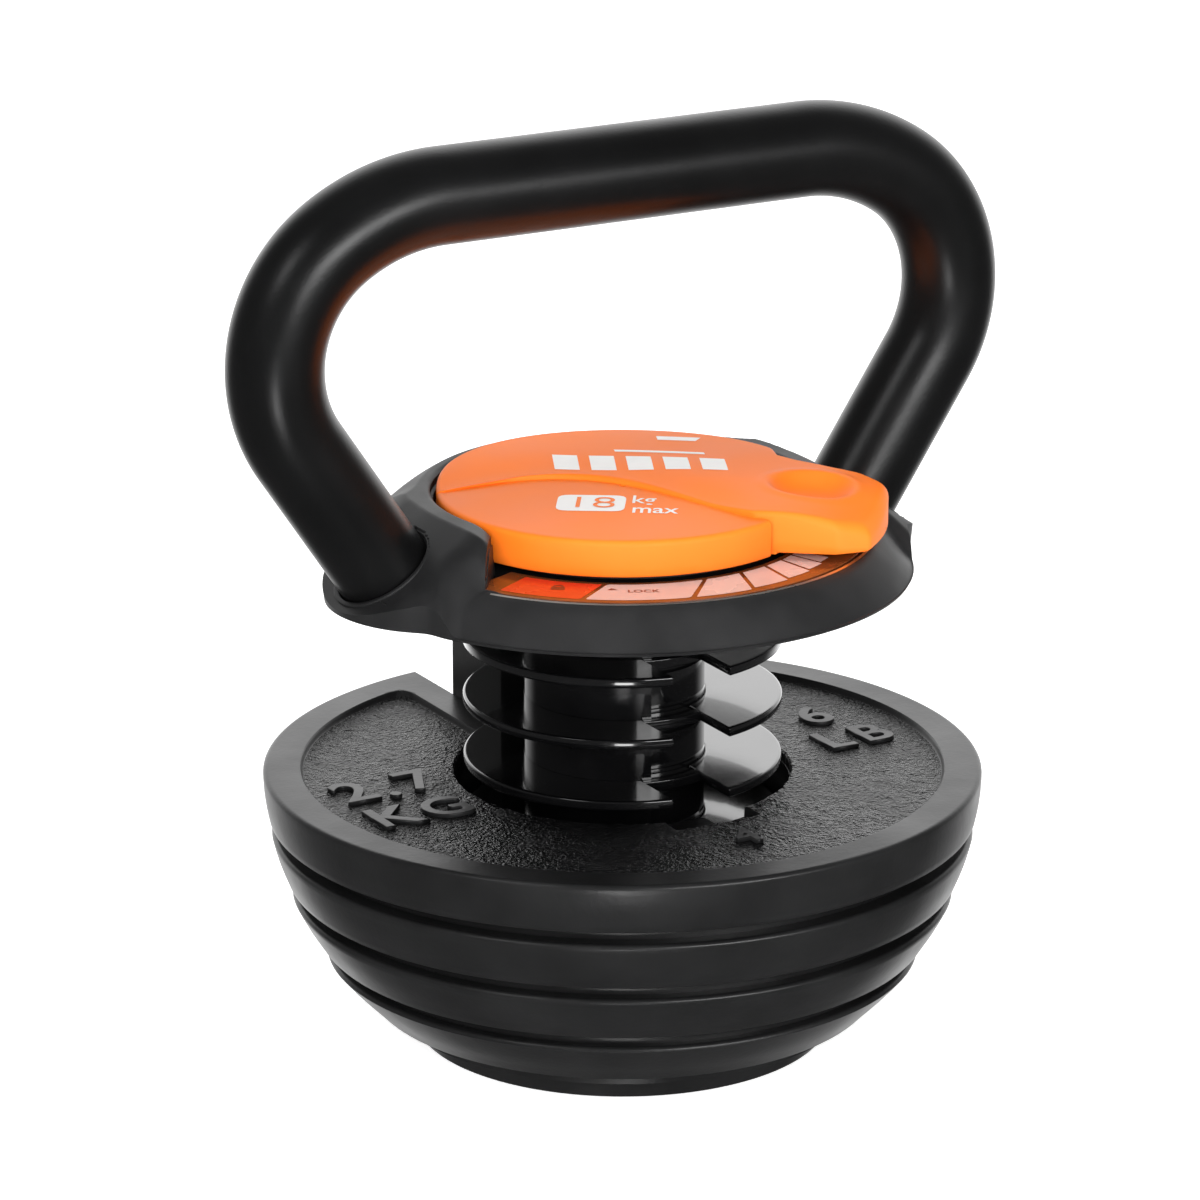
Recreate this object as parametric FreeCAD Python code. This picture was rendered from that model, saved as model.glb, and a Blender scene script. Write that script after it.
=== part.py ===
"""Adjustable kettlebell: a stack of C-shaped iron plates under a plug-in handle unit.

The handle unit is a bent tube pinned into the forked ears of a steel plate, which
a plastic collar hides. A spool of notched flanges hangs from that plate and turns
with the dial lever. With the lever at the right-hand boss the flange notches line
up with the plates' tabs and the handle unit lifts out. Turned to the left, each
flange passes under the tab of its plate and carries it.

Frame: origin on the floor under the spool axis, +Z up, +X along the grip to the
side of the parked lever, -Y to the front. Sizes are in millimetres.
"""
import FreeCAD
import Part

import math
import os

# --- plate stack -------------------------------------------------------------
PLATE_COUNT = 4
PITCH = 18.0                # height taken by one plate in the stack
FOOT_HEIGHT = 8.4           # underside of the lowest plate level above the floor
PLATE_BAND = 14.2           # height of the visible outer band of a plate
BOWL_RADIUS = 103.0         # sphere that both edges of every band lie on
BOWL_CENTRE = 84.0          # height of that sphere's centre
NECK_STEP = 6.0             # how far the dark neck lies inside the band's foot
EDGE_ROUND = 1.2            # rounding of the plates' upper outer edge
RIM_WIDTH = 10.5            # flat rim around the recessed top face
RECESS_DEPTH = 1.8
OPENING_RADIUS = 48.0       # central opening that the spool passes through
SLOT_WIDTH = 28.6           # rear slot that the keel passes through
SLOT_LAND = 9.7             # flat strip left beside the slot
RECESS_CORNER = 7.0
LOBE_RADIUS = 54.5          # front bay of the opening, above the tab
LOBE_WIDTH = 26.0
LOBE_DEPTH = 5.0
TAB_WIDTH = 14.6
TAB_REACH = 34.0            # distance of the tab's inner end from the axis
TAB_THICKNESS = 6.0
TAB_GAP = 0.5               # play between a tab and the flange that carries it

# --- foot --------------------------------------------------------------------
FOOT_RADIUS = 60.0
FOOT_BORE = 24.0
RUBBER_RADIUS = 56.5
RUBBER_BORE = 46.0
RUBBER_HEIGHT = 4.0
RUBBER_DROP = 1.2           # how far the rubber stands out below the foot
SEAT_GAP = 0.3              # spool's end cap above the floor of the lowest plate

# --- spool -------------------------------------------------------------------
FLANGE_COUNT = 7
FLANGE_RADIUS = 45.6
FLANGE_THICKNESS = 2.8
FIRST_FLANGE_TOP = 12.0
NOTCH_WIDTH = 18.3
NOTCH_REACH = 30.0          # distance of the notch's inner end from the axis
CORE_RADIUS = 23.5
CORE_BORE = 18.0
CORE_FIT = 0.05             # radial fit of flanges and sleeves on the core
SLEEVE_RADIUS = 28.5
SLEEVE_START = 70.0         # azimuth where the spacer sleeves begin, degrees
SLEEVE_SWEEP = 187.0
CORE_TOP = 134.0
CAP_RADIUS = 30.0
CAP_THICKNESS = 4.0
SPIGOT_LENGTH = 12.0
HEAD_GAP = 0.5              # running gap between the core head and the plate
SHAFT_RADIUS = 16.0
BOLT_RADIUS = 6.0           # tie bolt through the spool
BOLT_HEAD_RADIUS = 9.0
BOLT_HEAD_HEIGHT = 8.0
NUT_FLATS = 19.0
NUT_HEIGHT = 4.8
WASHER_THICKNESS = 1.2
KEY_SIZE = 5.0
KEY_LENGTH = 3.0
SHAFT_STUB = 1.5            # shaft above the dial's underside

# --- collar ------------------------------------------------------------------
COLLAR_BASE = 138.4         # height of the collar's lower edge
COLLAR_RADIUS = 82.5
RIM_RADIUS = 72.5           # inner edge of the collar's rim
RIM_TOP = 150.4
COLLAR_WALL = 2.5
COVER_THICKNESS = 1.6
PLATE_STEEL = 5.0           # thickness of the mounting plate
PLATE_RADIUS = 71.0
EAR_WIDTH = 33.0
EAR_REACH = 84.0            # the forked ears end here, open towards the outside
LUG_REACH = 74.5            # rear lug over the keel
POCKET_GAP = 0.3
DECK_THICKNESS = 2.8
DECK_BORE = 25.0
SCALE_THICKNESS = 1.2
SCALE_RADIUS = 69.0
CROWN_TOP = 162.5           # height of the collar behind and beside the dial
CROWN_INNER = 57.5          # bore of the high part, clear of the dial
CROWN_EDGE = 59.0           # outer edge of its narrow flat top
BED_RADIUS = 70.0           # bore of the low front rim
BOSS_CENTRE = 56.0          # plan circle of the bulge around each tube
BOSS_PLAN_RADIUS = 35.0
WINDOW_NEAR = (52.0, 17.8)  # front window: inner end of each side line, as (x, -y)
WINDOW_FAR = (80.1, 59.2)
SCREW_RADIUS = 2.0
SCREW_X = 63.0
SCREW_Y = 24.0
SCREW_LENGTH = 10.4

# --- bearing -----------------------------------------------------------------
BUSH_RADIUS = 19.0
BUSH_FLANGE_RADIUS = 23.0
BUSH_FLANGE = 1.6
RUNNING_FIT = 0.05          # radial clearance of the turning shaft
THRUST_THICKNESS = 1.2
RING_THICKNESS = 1.6
RING_RADIUS = 21.0
RING_GROOVE = 1.2
RING_PLAY = 0.1

# --- dial --------------------------------------------------------------------
DIAL_TRAVEL = 80.0          # degrees from open to locked
DIAL_RADIUS = 52.7
DIAL_BASE = 151.5           # underside of the dial's skirt
DIAL_FACE = 162.0
BAND_TOP = 166.0
DIAL_WALL = 2.5
CARRIER_RADIUS = 47.0
CARRIER_GAP = 0.5           # carrier above the printed scale
CARRIER_SPIGOT = 2.5
LEVER_AZIMUTH = -37.3
LEVER_NEAR = 25.3           # offset of the lever's leading side from the axis
LEVER_TIP = 75.0
LEVER_FAR_ROOT = (36.0, -30.0)
LEVER_FAR_TIP = (68.0, -12.0)
LEVER_FLOOR = 152.2
LEVER_CLEARANCE = 1.5       # lever to the window's sides at the ends of its travel
BAND_WAIST = -5.0           # raised band's curved edge at its narrowest
DIAL_SCREW_CIRCLE = 38.0
DIAL_SCREW_RADIUS = 1.75

# --- detent ------------------------------------------------------------------
DETENT_RADIUS = 36.0        # distance of the detent ball from the axis
DETENT_AZIMUTH = 125.0
BALL_RADIUS = 3.0
BALL_PLAY = 0.15
SPRING_WIRE = 0.5
SPRING_RADIUS = 2.2
SPRING_TURNS = 4

# --- handle ------------------------------------------------------------------
TUBE_RADIUS = 13.55
TUBE_WALL = 2.6
GRIP_HEIGHT = 253.1         # centreline of the straight grip
GRIP_HALF = 57.6            # half length of the straight grip
SHOULDER_RADIUS = 59.3
SHOULDER_SWEEP = 33.0
BEND_RADIUS = 40.5
LEG_LEAN = 33.9             # degrees between a leg and the vertical
PLUG_LENGTH = 24.0
SOCKET_GAP = 0.6            # dark ring between tube and collar
LEG_PIN_RADIUS = 1.5

# --- keel --------------------------------------------------------------------
KEEL_WIDTH = 26.0
KEEL_INNER = 49.0
KEEL_OUTER = 79.0
KEEL_TOE = 62.0
KEEL_BEND = 45.0            # height where the keel starts to follow the bowl
KEEL_FOOT = 10.5
KEEL_WALL = 3.5
KEEL_HEAD = 16.0
KEEL_BOLT_RADIUS = 3.0
KEEL_BOLT_SPREAD = 14.0
KEEL_BOLT_LENGTH = 14.0

# --- worked-out heights --------------------------------------------------------
PLATE_BOTTOM = COLLAR_BASE + COVER_THICKNESS
PLATE_TOP = PLATE_BOTTOM + PLATE_STEEL
DECK_TOP = PLATE_TOP + DECK_THICKNESS
SCALE_TOP = DECK_TOP + SCALE_THICKNESS
HEAD_TOP = PLATE_BOTTOM - HEAD_GAP
BUSH_TOP = PLATE_TOP + BUSH_FLANGE
THRUST_TOP = BUSH_TOP + THRUST_THICKNESS
RING_BASE = THRUST_TOP + RING_PLAY
CARRIER_BASE = SCALE_TOP + CARRIER_GAP
SHAFT_TOP = DIAL_BASE + SHAFT_STUB
CARRIER_TOP = DIAL_BASE + CARRIER_SPIGOT
CAP_BOTTOM = FIRST_FLANGE_TOP - FLANGE_THICKNESS - CAP_THICKNESS

UP = FreeCAD.Vector(0, 0, 1)
ORIGIN = FreeCAD.Vector(0, 0, 0)


def point(x, y, z):
    """Return a vector from three numbers."""
    return FreeCAD.Vector(x, y, z)


def cylinder(radius, base, top, x=0.0, y=0.0):
    """Return an upright cylinder between two heights."""
    return Part.makeCylinder(radius, top - base, point(x, y, base), UP)


def tube(outer, inner, base, top):
    """Return an upright tube on the axis between two heights."""
    return cylinder(outer, base, top).cut(cylinder(inner, base - 1, top + 1))


def box(x_low, x_high, y_low, y_high, base, top):
    """Return a box from its limits along each axis."""
    return Part.makeBox(x_high - x_low, y_high - y_low, top - base, point(x_low, y_low, base))


def revolved(outline):
    """Return the full turn about Z of a closed outline of (radius, height) points."""
    points = [point(radius, 0, height) for radius, height in outline]
    face = Part.Face(Part.makePolygon(points + points[:1]))
    return face.revolve(ORIGIN, UP, 360)


def prism(outline, base, top):
    """Return an upright prism over a closed outline of (x, y) points."""
    points = [point(x, y, base) for x, y in outline]
    face = Part.Face(Part.makePolygon(points + points[:1]))
    return face.extrude(point(0, 0, top - base))


def sector(radius, start, sweep, base, top):
    """Return an upright pie slice between two heights."""
    slice_ = Part.makeCylinder(radius, top - base, point(0, 0, base), UP, sweep)
    return turned(slice_, start)


def turned(shape, degrees):
    """Return a copy turned about the spool axis."""
    copy = shape.copy()
    copy.rotate(ORIGIN, UP, degrees)
    return copy


def mirrored(shape):
    """Return a copy mirrored to the other side of the grip."""
    return shape.mirror(ORIGIN, point(1, 0, 0))


def hexagon(flats, base, top):
    """Return an upright hexagonal prism on the axis."""
    corner = flats / 2 / math.cos(math.radians(30))
    angles = [math.radians(60 * index) for index in range(6)]
    return prism([(corner * math.cos(a), corner * math.sin(a)) for a in angles], base, top)


def ring_of(count, radius, start=0.0):
    """Yield evenly spaced (x, y) places on a circle."""
    for index in range(count):
        angle = math.radians(start + 360 / count * index)
        yield radius * math.cos(angle), radius * math.sin(angle)


# --- plates --------------------------------------------------------------------
def plate_top(level):
    """Return the height of a plate's top; the lowest plate is level 1."""
    return FOOT_HEIGHT + level * PITCH


def flange_top(level):
    """Return the height of a flange's top; the lowest flange is level 1."""
    return FIRST_FLANGE_TOP + (level - 1) * PITCH


def bowl(height):
    """Return the radius of the bowl-shaped envelope at a height."""
    return math.sqrt(BOWL_RADIUS ** 2 - (BOWL_CENTRE - height) ** 2)


def recess(level):
    """Return the shallow recess in a plate's top, with lands beside the slot."""
    top = plate_top(level)
    radius = bowl(top) - RIM_WIDTH
    shape = cylinder(radius, top - RECESS_DEPTH, top + 1)
    half = SLOT_WIDTH / 2 + SLOT_LAND
    land = box(-half, half, 0, BOWL_RADIUS, top - RECESS_DEPTH - 1, top + 2)
    shape = shape.cut(land.cut(cylinder(OPENING_RADIUS, top - 9, top + 9)))
    corners = [edge for edge in shape.Edges if is_outer_corner(edge, radius)]
    return shape.makeFillet(RECESS_CORNER, corners)


def is_outer_corner(edge, radius):
    """Tell whether an edge is an upright corner where recess rim and land meet."""
    if edge.BoundBox.ZLength < RECESS_DEPTH or edge.BoundBox.XLength > 0.01:
        return False
    centre = edge.CenterOfMass
    return math.hypot(centre.x, centre.y) > radius - 1 and centre.y > 0


def plate(level):
    """Return one C-shaped plate with its tab and rear slot."""
    top = plate_top(level)
    base = top - PITCH
    foot_radius = bowl(top - PLATE_BAND)
    neck = foot_radius - NECK_STEP
    shape = revolved([(OPENING_RADIUS, base), (neck, base), (neck, top - PLATE_BAND),
                      (foot_radius, top - PLATE_BAND), (bowl(top), top), (OPENING_RADIUS, top)])
    rim = [e for e in shape.Edges if abs(e.BoundBox.XMax - bowl(top)) < 0.01 and e.BoundBox.ZLength < 0.01]
    shape = shape.makeFillet(EDGE_ROUND, rim[:1])
    if level == 1:
        shape = shape.fuse(pedestal(neck))
    half = SLOT_WIDTH / 2
    shape = shape.cut(recess(level))
    shape = shape.cut(box(-half, half, 0, BOWL_RADIUS + 5, base, top + 1))
    bay = box(-LOBE_WIDTH / 2, LOBE_WIDTH / 2, -LOBE_RADIUS, 0, top - LOBE_DEPTH, top + 1)
    shape = shape.cut(bay)
    seat = flange_top(level) + TAB_GAP
    tab = box(-TAB_WIDTH / 2, TAB_WIDTH / 2, -OPENING_RADIUS - 3, -TAB_REACH, seat, seat + TAB_THICKNESS)
    return shape.fuse(tab).removeSplitter()


def pedestal(neck):
    """Return the foot cast under the lowest plate, with a groove for its rubber."""
    foot = revolved([(FOOT_BORE, RUBBER_DROP), (FOOT_RADIUS, RUBBER_DROP), (FOOT_RADIUS + 1.5, FOOT_HEIGHT),
                     (FOOT_BORE, FOOT_HEIGHT)])
    groove = tube(RUBBER_RADIUS, RUBBER_BORE, RUBBER_DROP - 1, RUBBER_HEIGHT)
    floor = CAP_BOTTOM - SEAT_GAP
    web = tube(neck, FOOT_BORE, FOOT_HEIGHT - 0.01, FOOT_HEIGHT + 0.4)
    return foot.fuse(web).cut(groove).cut(cylinder(OPENING_RADIUS, floor, FOOT_HEIGHT + 1))


def rubber_foot():
    """Return the rubber ring in the foot's groove."""
    return tube(RUBBER_RADIUS, RUBBER_BORE, 0, RUBBER_HEIGHT)


# --- spool ---------------------------------------------------------------------
def flange(level):
    """Return one notched flange of the spool."""
    top = flange_top(level)
    base = top - FLANGE_THICKNESS
    disc = tube(FLANGE_RADIUS, CORE_RADIUS + CORE_FIT, base, top)
    rims = [e for e in disc.Edges if abs(e.BoundBox.XMax - FLANGE_RADIUS) < 0.01 and e.BoundBox.ZLength < 0.01]
    disc = disc.makeFillet(0.6, rims)
    half = NOTCH_WIDTH / 2
    return disc.cut(box(-half, half, -FLANGE_RADIUS - 1, -NOTCH_REACH, base - 1, top + 1))


def sleeve(level):
    """Return the part-round spacer sleeve that stands on one flange."""
    base = flange_top(level)
    top = CORE_TOP if level == FLANGE_COUNT else flange_top(level + 1) - FLANGE_THICKNESS
    pie = sector(SLEEVE_RADIUS, SLEEVE_START, SLEEVE_SWEEP, base, top)
    return pie.cut(cylinder(CORE_RADIUS + CORE_FIT, base - 1, top + 1))


def core_tube():
    """Return the core that flanges and sleeves are stacked on."""
    return tube(CORE_RADIUS, CORE_BORE, FIRST_FLANGE_TOP - FLANGE_THICKNESS, CORE_TOP)


def key_place():
    """Return the block that the drive key fills, on the +X side of the shaft."""
    half = KEY_SIZE / 2
    return box(SHAFT_RADIUS - half, SHAFT_RADIUS + half, -half, half, SHAFT_TOP - KEY_LENGTH, SHAFT_TOP)


def core_head():
    """Return the head of the spool: flange, spigot and the shaft up to the dial."""
    disc = cylinder(CAP_RADIUS, CORE_TOP, HEAD_TOP)
    spigot = cylinder(CORE_BORE - CORE_FIT, CORE_TOP - SPIGOT_LENGTH, CORE_TOP)
    shaft = cylinder(SHAFT_RADIUS, HEAD_TOP, SHAFT_TOP)
    shape = disc.fuse([spigot, shaft]).cut(cylinder(BOLT_RADIUS, 0, SHAFT_TOP + 1))
    groove = tube(SHAFT_RADIUS + 1, SHAFT_RADIUS - RING_GROOVE, RING_BASE, RING_BASE + RING_THICKNESS)
    return shape.cut(groove).cut(key_place()).removeSplitter()


def end_cap():
    """Return the cap under the spool, bored for the head of the tie bolt."""
    top = CAP_BOTTOM + CAP_THICKNESS
    shape = cylinder(CAP_RADIUS, CAP_BOTTOM, top).fuse(cylinder(CORE_BORE - CORE_FIT, top, top + SPIGOT_LENGTH))
    shape = shape.cut(cylinder(BOLT_HEAD_RADIUS + 0.5, CAP_BOTTOM - 1, CAP_BOTTOM + BOLT_HEAD_HEIGHT))
    return shape.cut(cylinder(BOLT_RADIUS, 0, top + SPIGOT_LENGTH + 1)).removeSplitter()


def tie_bolt():
    """Return the long socket-head bolt that clamps the spool together."""
    seat = CAP_BOTTOM + BOLT_HEAD_HEIGHT
    top = SHAFT_TOP + WASHER_THICKNESS + NUT_HEIGHT
    shape = cylinder(BOLT_HEAD_RADIUS, CAP_BOTTOM, seat).fuse(cylinder(BOLT_RADIUS, seat, top))
    return shape.cut(hexagon(8, CAP_BOTTOM - 1, CAP_BOTTOM + 5)).removeSplitter()


def tie_nut():
    """Return the nut on top of the tie bolt."""
    base = SHAFT_TOP + WASHER_THICKNESS
    return hexagon(NUT_FLATS, base, base + NUT_HEIGHT).cut(cylinder(BOLT_RADIUS, base - 1, base + NUT_HEIGHT + 1))


def tie_washer():
    """Return the washer under the tie nut."""
    return tube(12, BOLT_RADIUS, SHAFT_TOP, SHAFT_TOP + WASHER_THICKNESS)


# --- dial ----------------------------------------------------------------------
def lever_point(along, near):
    """Return (x, y) for a place given along the lever and towards its leading side."""
    angle = math.radians(LEVER_AZIMUTH)
    x = along * math.cos(angle) + near * math.sin(angle)
    y = along * math.sin(angle) - near * math.cos(angle)
    return x, y


def lever_plan(grow=0.0):
    """Return the face of the lever's plan, optionally grown on every side."""
    near = LEVER_NEAR + grow
    tip = LEVER_TIP + grow
    corner = (math.sqrt(tip ** 2 - near ** 2), near)
    far_tip = (LEVER_FAR_TIP[0] + grow, LEVER_FAR_TIP[1] - grow)
    far_root = (LEVER_FAR_ROOT[0], LEVER_FAR_ROOT[1] - grow)
    nose = point(*lever_point(tip, 0), LEVER_FLOOR)
    spots = [(0, near), corner, far_tip, far_root]
    first, second, third, fourth = [point(*lever_point(*spot), LEVER_FLOOR) for spot in spots]
    heel = point(*lever_point(0, LEVER_FAR_ROOT[1] - grow), LEVER_FLOOR)
    edges = [Part.LineSegment(first, second), Part.Arc(second, nose, third), Part.LineSegment(third, fourth),
             Part.LineSegment(fourth, heel), Part.LineSegment(heel, first)]
    return Part.Face(Part.Wire([edge.toShape() for edge in edges]))


def raised_band():
    """Return the raised band across the dial, whose front edge is curved."""
    ends = [point(*lever_point(-DIAL_RADIUS, 12), DIAL_FACE), point(*lever_point(LEVER_TIP, LEVER_NEAR + 12), DIAL_FACE)]
    waist = point(*lever_point(-12, BAND_WAIST), DIAL_FACE)
    far = [point(*lever_point(LEVER_TIP, -45), DIAL_FACE), point(*lever_point(-DIAL_RADIUS, -45), DIAL_FACE)]
    edges = [Part.Arc(ends[0], waist, ends[1]), Part.LineSegment(ends[1], far[0]),
             Part.LineSegment(far[0], far[1]), Part.LineSegment(far[1], ends[0])]
    return Part.Face(Part.Wire([edge.toShape() for edge in edges])).extrude(point(0, 0, BAND_TOP - DIAL_FACE))


def dial_screw_places():
    """Return the places of the screws that hold the dial on its carrier."""
    return list(ring_of(3, DIAL_SCREW_CIRCLE, LEVER_AZIMUTH))


def dial_knob():
    """Return the hollow dial with its lever and screw bosses."""
    drum = cylinder(DIAL_RADIUS, DIAL_BASE, BAND_TOP)
    lever = lever_plan().extrude(point(0, 0, BAND_TOP - LEVER_FLOOR))
    outline = drum.fuse(lever)
    above = cylinder(LEVER_TIP + 9, DIAL_FACE, BAND_TOP + 1)
    body = outline.cut(above).fuse(outline.common(raised_band()))
    hollow = cylinder(DIAL_RADIUS - DIAL_WALL, DIAL_BASE - 1, DIAL_FACE - DIAL_WALL)
    body = body.cut(hollow)
    for x, y in dial_screw_places():
        boss = cylinder(4.5, CARRIER_TOP, DIAL_FACE, x, y)
        body = body.fuse(boss).cut(cylinder(DIAL_SCREW_RADIUS, CARRIER_TOP - 1, DIAL_FACE - 2, x, y))
    return body.removeSplitter()


def detent_places():
    """Return the azimuths of the carrier's two detent pockets, in the open pose."""
    return (DETENT_AZIMUTH, DETENT_AZIMUTH + DIAL_TRAVEL)


def dial_carrier():
    """Return the disc that joins the dial to the spool shaft."""
    disc = cylinder(CARRIER_RADIUS, CARRIER_BASE, DIAL_BASE)
    spigot = cylinder(DIAL_RADIUS - DIAL_WALL - 0.1, DIAL_BASE, CARRIER_TOP)
    shape = disc.fuse(spigot)
    shape = shape.cut(cylinder(SHAFT_RADIUS, CARRIER_BASE - 1, CARRIER_TOP + 1))
    shape = shape.cut(cylinder(RING_RADIUS + 1.5, CARRIER_BASE - 1, RING_BASE + RING_THICKNESS + 0.4))
    shape = shape.cut(key_place())
    for x, y in dial_screw_places():
        shape = shape.cut(cylinder(DIAL_SCREW_RADIUS, CARRIER_BASE - 1, CARRIER_TOP + 1, x, y))
        shape = shape.cut(cylinder(DIAL_SCREW_RADIUS * 2, CARRIER_BASE - 1, CARRIER_BASE + 2, x, y))
    for azimuth in detent_places():
        angle = math.radians(azimuth)
        centre = point(DETENT_RADIUS * math.cos(angle), DETENT_RADIUS * math.sin(angle), CARRIER_BASE - 1.8)
        shape = shape.cut(Part.makeSphere(BALL_RADIUS + 0.2, centre))
    return shape.removeSplitter()


def dial_screws():
    """Return the screws from the carrier up into the dial."""
    screws = []
    for x, y in dial_screw_places():
        head = cylinder(DIAL_SCREW_RADIUS * 2 - 0.2, CARRIER_BASE + 0.2, CARRIER_BASE + 2, x, y)
        screws.append(head.fuse(cylinder(DIAL_SCREW_RADIUS, CARRIER_BASE + 2, DIAL_FACE - 3, x, y)))
    return Part.makeCompound(screws)


def retaining_ring():
    """Return the split ring in the shaft groove that carries the spool."""
    base = RING_BASE
    ring = tube(RING_RADIUS, SHAFT_RADIUS - RING_GROOVE, base, base + RING_THICKNESS)
    return ring.cut(box(0, RING_RADIUS + 1, -2, 2, base - 1, base + RING_THICKNESS + 1))


# --- bearing and detent -----------------------------------------------------------
def main_bush():
    """Return the flanged bush in the mounting plate."""
    sleeve_ = tube(BUSH_RADIUS, SHAFT_RADIUS + RUNNING_FIT, PLATE_BOTTOM, PLATE_TOP)
    return sleeve_.fuse(tube(BUSH_FLANGE_RADIUS, SHAFT_RADIUS + RUNNING_FIT, PLATE_TOP, BUSH_TOP)).removeSplitter()


def thrust_washer():
    """Return the washer between the bush and the retaining ring."""
    return tube(RING_RADIUS, SHAFT_RADIUS + 2 * RUNNING_FIT, BUSH_TOP, THRUST_TOP)


def detent_place():
    """Return the (x, y) place of the detent."""
    angle = math.radians(DETENT_AZIMUTH)
    return DETENT_RADIUS * math.cos(angle), DETENT_RADIUS * math.sin(angle)


def detent_ball():
    """Return the ball, pressed down to the carrier's underside."""
    x, y = detent_place()
    return Part.makeSphere(BALL_RADIUS, point(x, y, CARRIER_BASE - BALL_PLAY - BALL_RADIUS))


def detent_spring():
    """Return the coil spring under the ball."""
    x, y = detent_place()
    base = PLATE_BOTTOM + 1 + SPRING_WIRE
    top = CARRIER_BASE - BALL_PLAY - 2 * BALL_RADIUS + 0.4
    height = top - base
    helix = Part.makeHelix(height / SPRING_TURNS, height, SPRING_RADIUS)
    start = point(SPRING_RADIUS, 0, 0)
    circle = Part.Circle(start, point(0, 1, 0), SPRING_WIRE)
    wire = Part.Wire(circle.toShape())
    spring = Part.Wire(helix).makePipeShell([wire], True, True)
    spring.translate(point(x, y, base))
    return spring


def detent_plug():
    """Return the grub screw that closes the detent bore from below."""
    x, y = detent_place()
    plug = cylinder(BALL_RADIUS + 0.2, PLATE_BOTTOM, PLATE_BOTTOM + 1, x, y)
    socket = hexagon(2.0, PLATE_BOTTOM - 1, PLATE_BOTTOM + 0.6)
    socket.translate(point(x, y, 0))
    return plug.cut(socket)


# --- handle --------------------------------------------------------------------
def handle_nodes():
    """Return the key places of the right half of the handle's centreline."""
    shoulder_end = math.radians(90 - SHOULDER_SWEEP)
    lean = math.radians(LEG_LEAN)
    first = point(GRIP_HALF, 0, GRIP_HEIGHT - SHOULDER_RADIUS)
    start = point(GRIP_HALF, 0, GRIP_HEIGHT)
    outward = point(math.cos(shoulder_end), 0, math.sin(shoulder_end))
    join = first + outward * SHOULDER_RADIUS
    second = join - outward * BEND_RADIUS
    low = second + point(math.cos(lean), 0, -math.sin(lean)) * BEND_RADIUS
    half_turn = math.radians(90 - SHOULDER_SWEEP / 2)
    middle_one = first + point(math.cos(half_turn), 0, math.sin(half_turn)) * SHOULDER_RADIUS
    half_bend = (shoulder_end - lean) / 2
    middle_two = second + point(math.cos(half_bend), 0, math.sin(half_bend)) * BEND_RADIUS
    return start, middle_one, join, middle_two, low


def leg_direction():
    """Return the unit vector down the right-hand leg."""
    lean = math.radians(LEG_LEAN)
    return point(-math.sin(lean), 0, -math.cos(lean))


def leg_at(height):
    """Return the centre of the right-hand leg at a height."""
    low = handle_nodes()[-1]
    direction = leg_direction()
    return low + direction * ((height - low.z) / direction.z)


def flipped(place):
    """Return a place mirrored to the left-hand side."""
    return point(-place.x, place.y, place.z)


def centreline():
    """Return the wire along the middle of the handle tube."""
    start, middle_one, join, middle_two, low = handle_nodes()
    end = leg_at(PLATE_BOTTOM - 12)
    right = [Part.Arc(start, middle_one, join), Part.Arc(join, middle_two, low), Part.LineSegment(low, end)]
    left = [Part.LineSegment(flipped(end), flipped(low)), Part.Arc(flipped(low), flipped(middle_two), flipped(join)),
            Part.Arc(flipped(join), flipped(middle_one), flipped(start))]
    edges = left + [Part.LineSegment(flipped(start), start)] + right
    return Part.Wire([edge.toShape() for edge in edges])


def swept_tube(radius):
    """Return a round bar of one radius swept along the handle's centreline."""
    end = flipped(leg_at(PLATE_BOTTOM - 12))
    direction = flipped(leg_direction())
    profile = Part.Wire(Part.Circle(end, direction, radius).toShape())
    return centreline().makePipeShell([profile], True, False)


def handle_tube():
    """Return the bent handle tube, cut flush with the mounting plate's underside."""
    shape = swept_tube(TUBE_RADIUS).cut(swept_tube(TUBE_RADIUS - TUBE_WALL))
    return shape.cut(box(-150, 150, -50, 50, 0, PLATE_BOTTOM)).cut(leg_pins())


def leg_cylinder(radius, base, top):
    """Return a round bar along the right-hand leg between two heights."""
    start = leg_at(top)
    length = (leg_at(base) - start).Length
    return Part.makeCylinder(radius, length, start, leg_direction())


def tube_plug():
    """Return the right-hand solid plug inside the end of the tube."""
    bar = leg_cylinder(TUBE_RADIUS - TUBE_WALL, PLATE_BOTTOM - 12, PLATE_BOTTOM + PLUG_LENGTH)
    return bar.cut(box(0, 150, -50, 50, 0, PLATE_BOTTOM)).cut(leg_pins())


def leg_pins():
    """Return the cross pins that hold both legs in the forks of the mounting plate."""
    height = (PLATE_BOTTOM + PLATE_TOP) / 2
    start = leg_at(height) + point(0, -EAR_WIDTH / 2, 0)
    pin = Part.makeCylinder(LEG_PIN_RADIUS, EAR_WIDTH, start, point(0, 1, 0))
    return Part.makeCompound([pin, mirrored(pin)])


def countersunk(radius, head, height, base, top, x, y):
    """Return a countersunk screw whose flat head lies at the base height."""
    cone = Part.makeCone(head, radius, height, point(x, y, base), UP)
    return cone.fuse(cylinder(radius, base + height, top, x, y)).removeSplitter()


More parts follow.
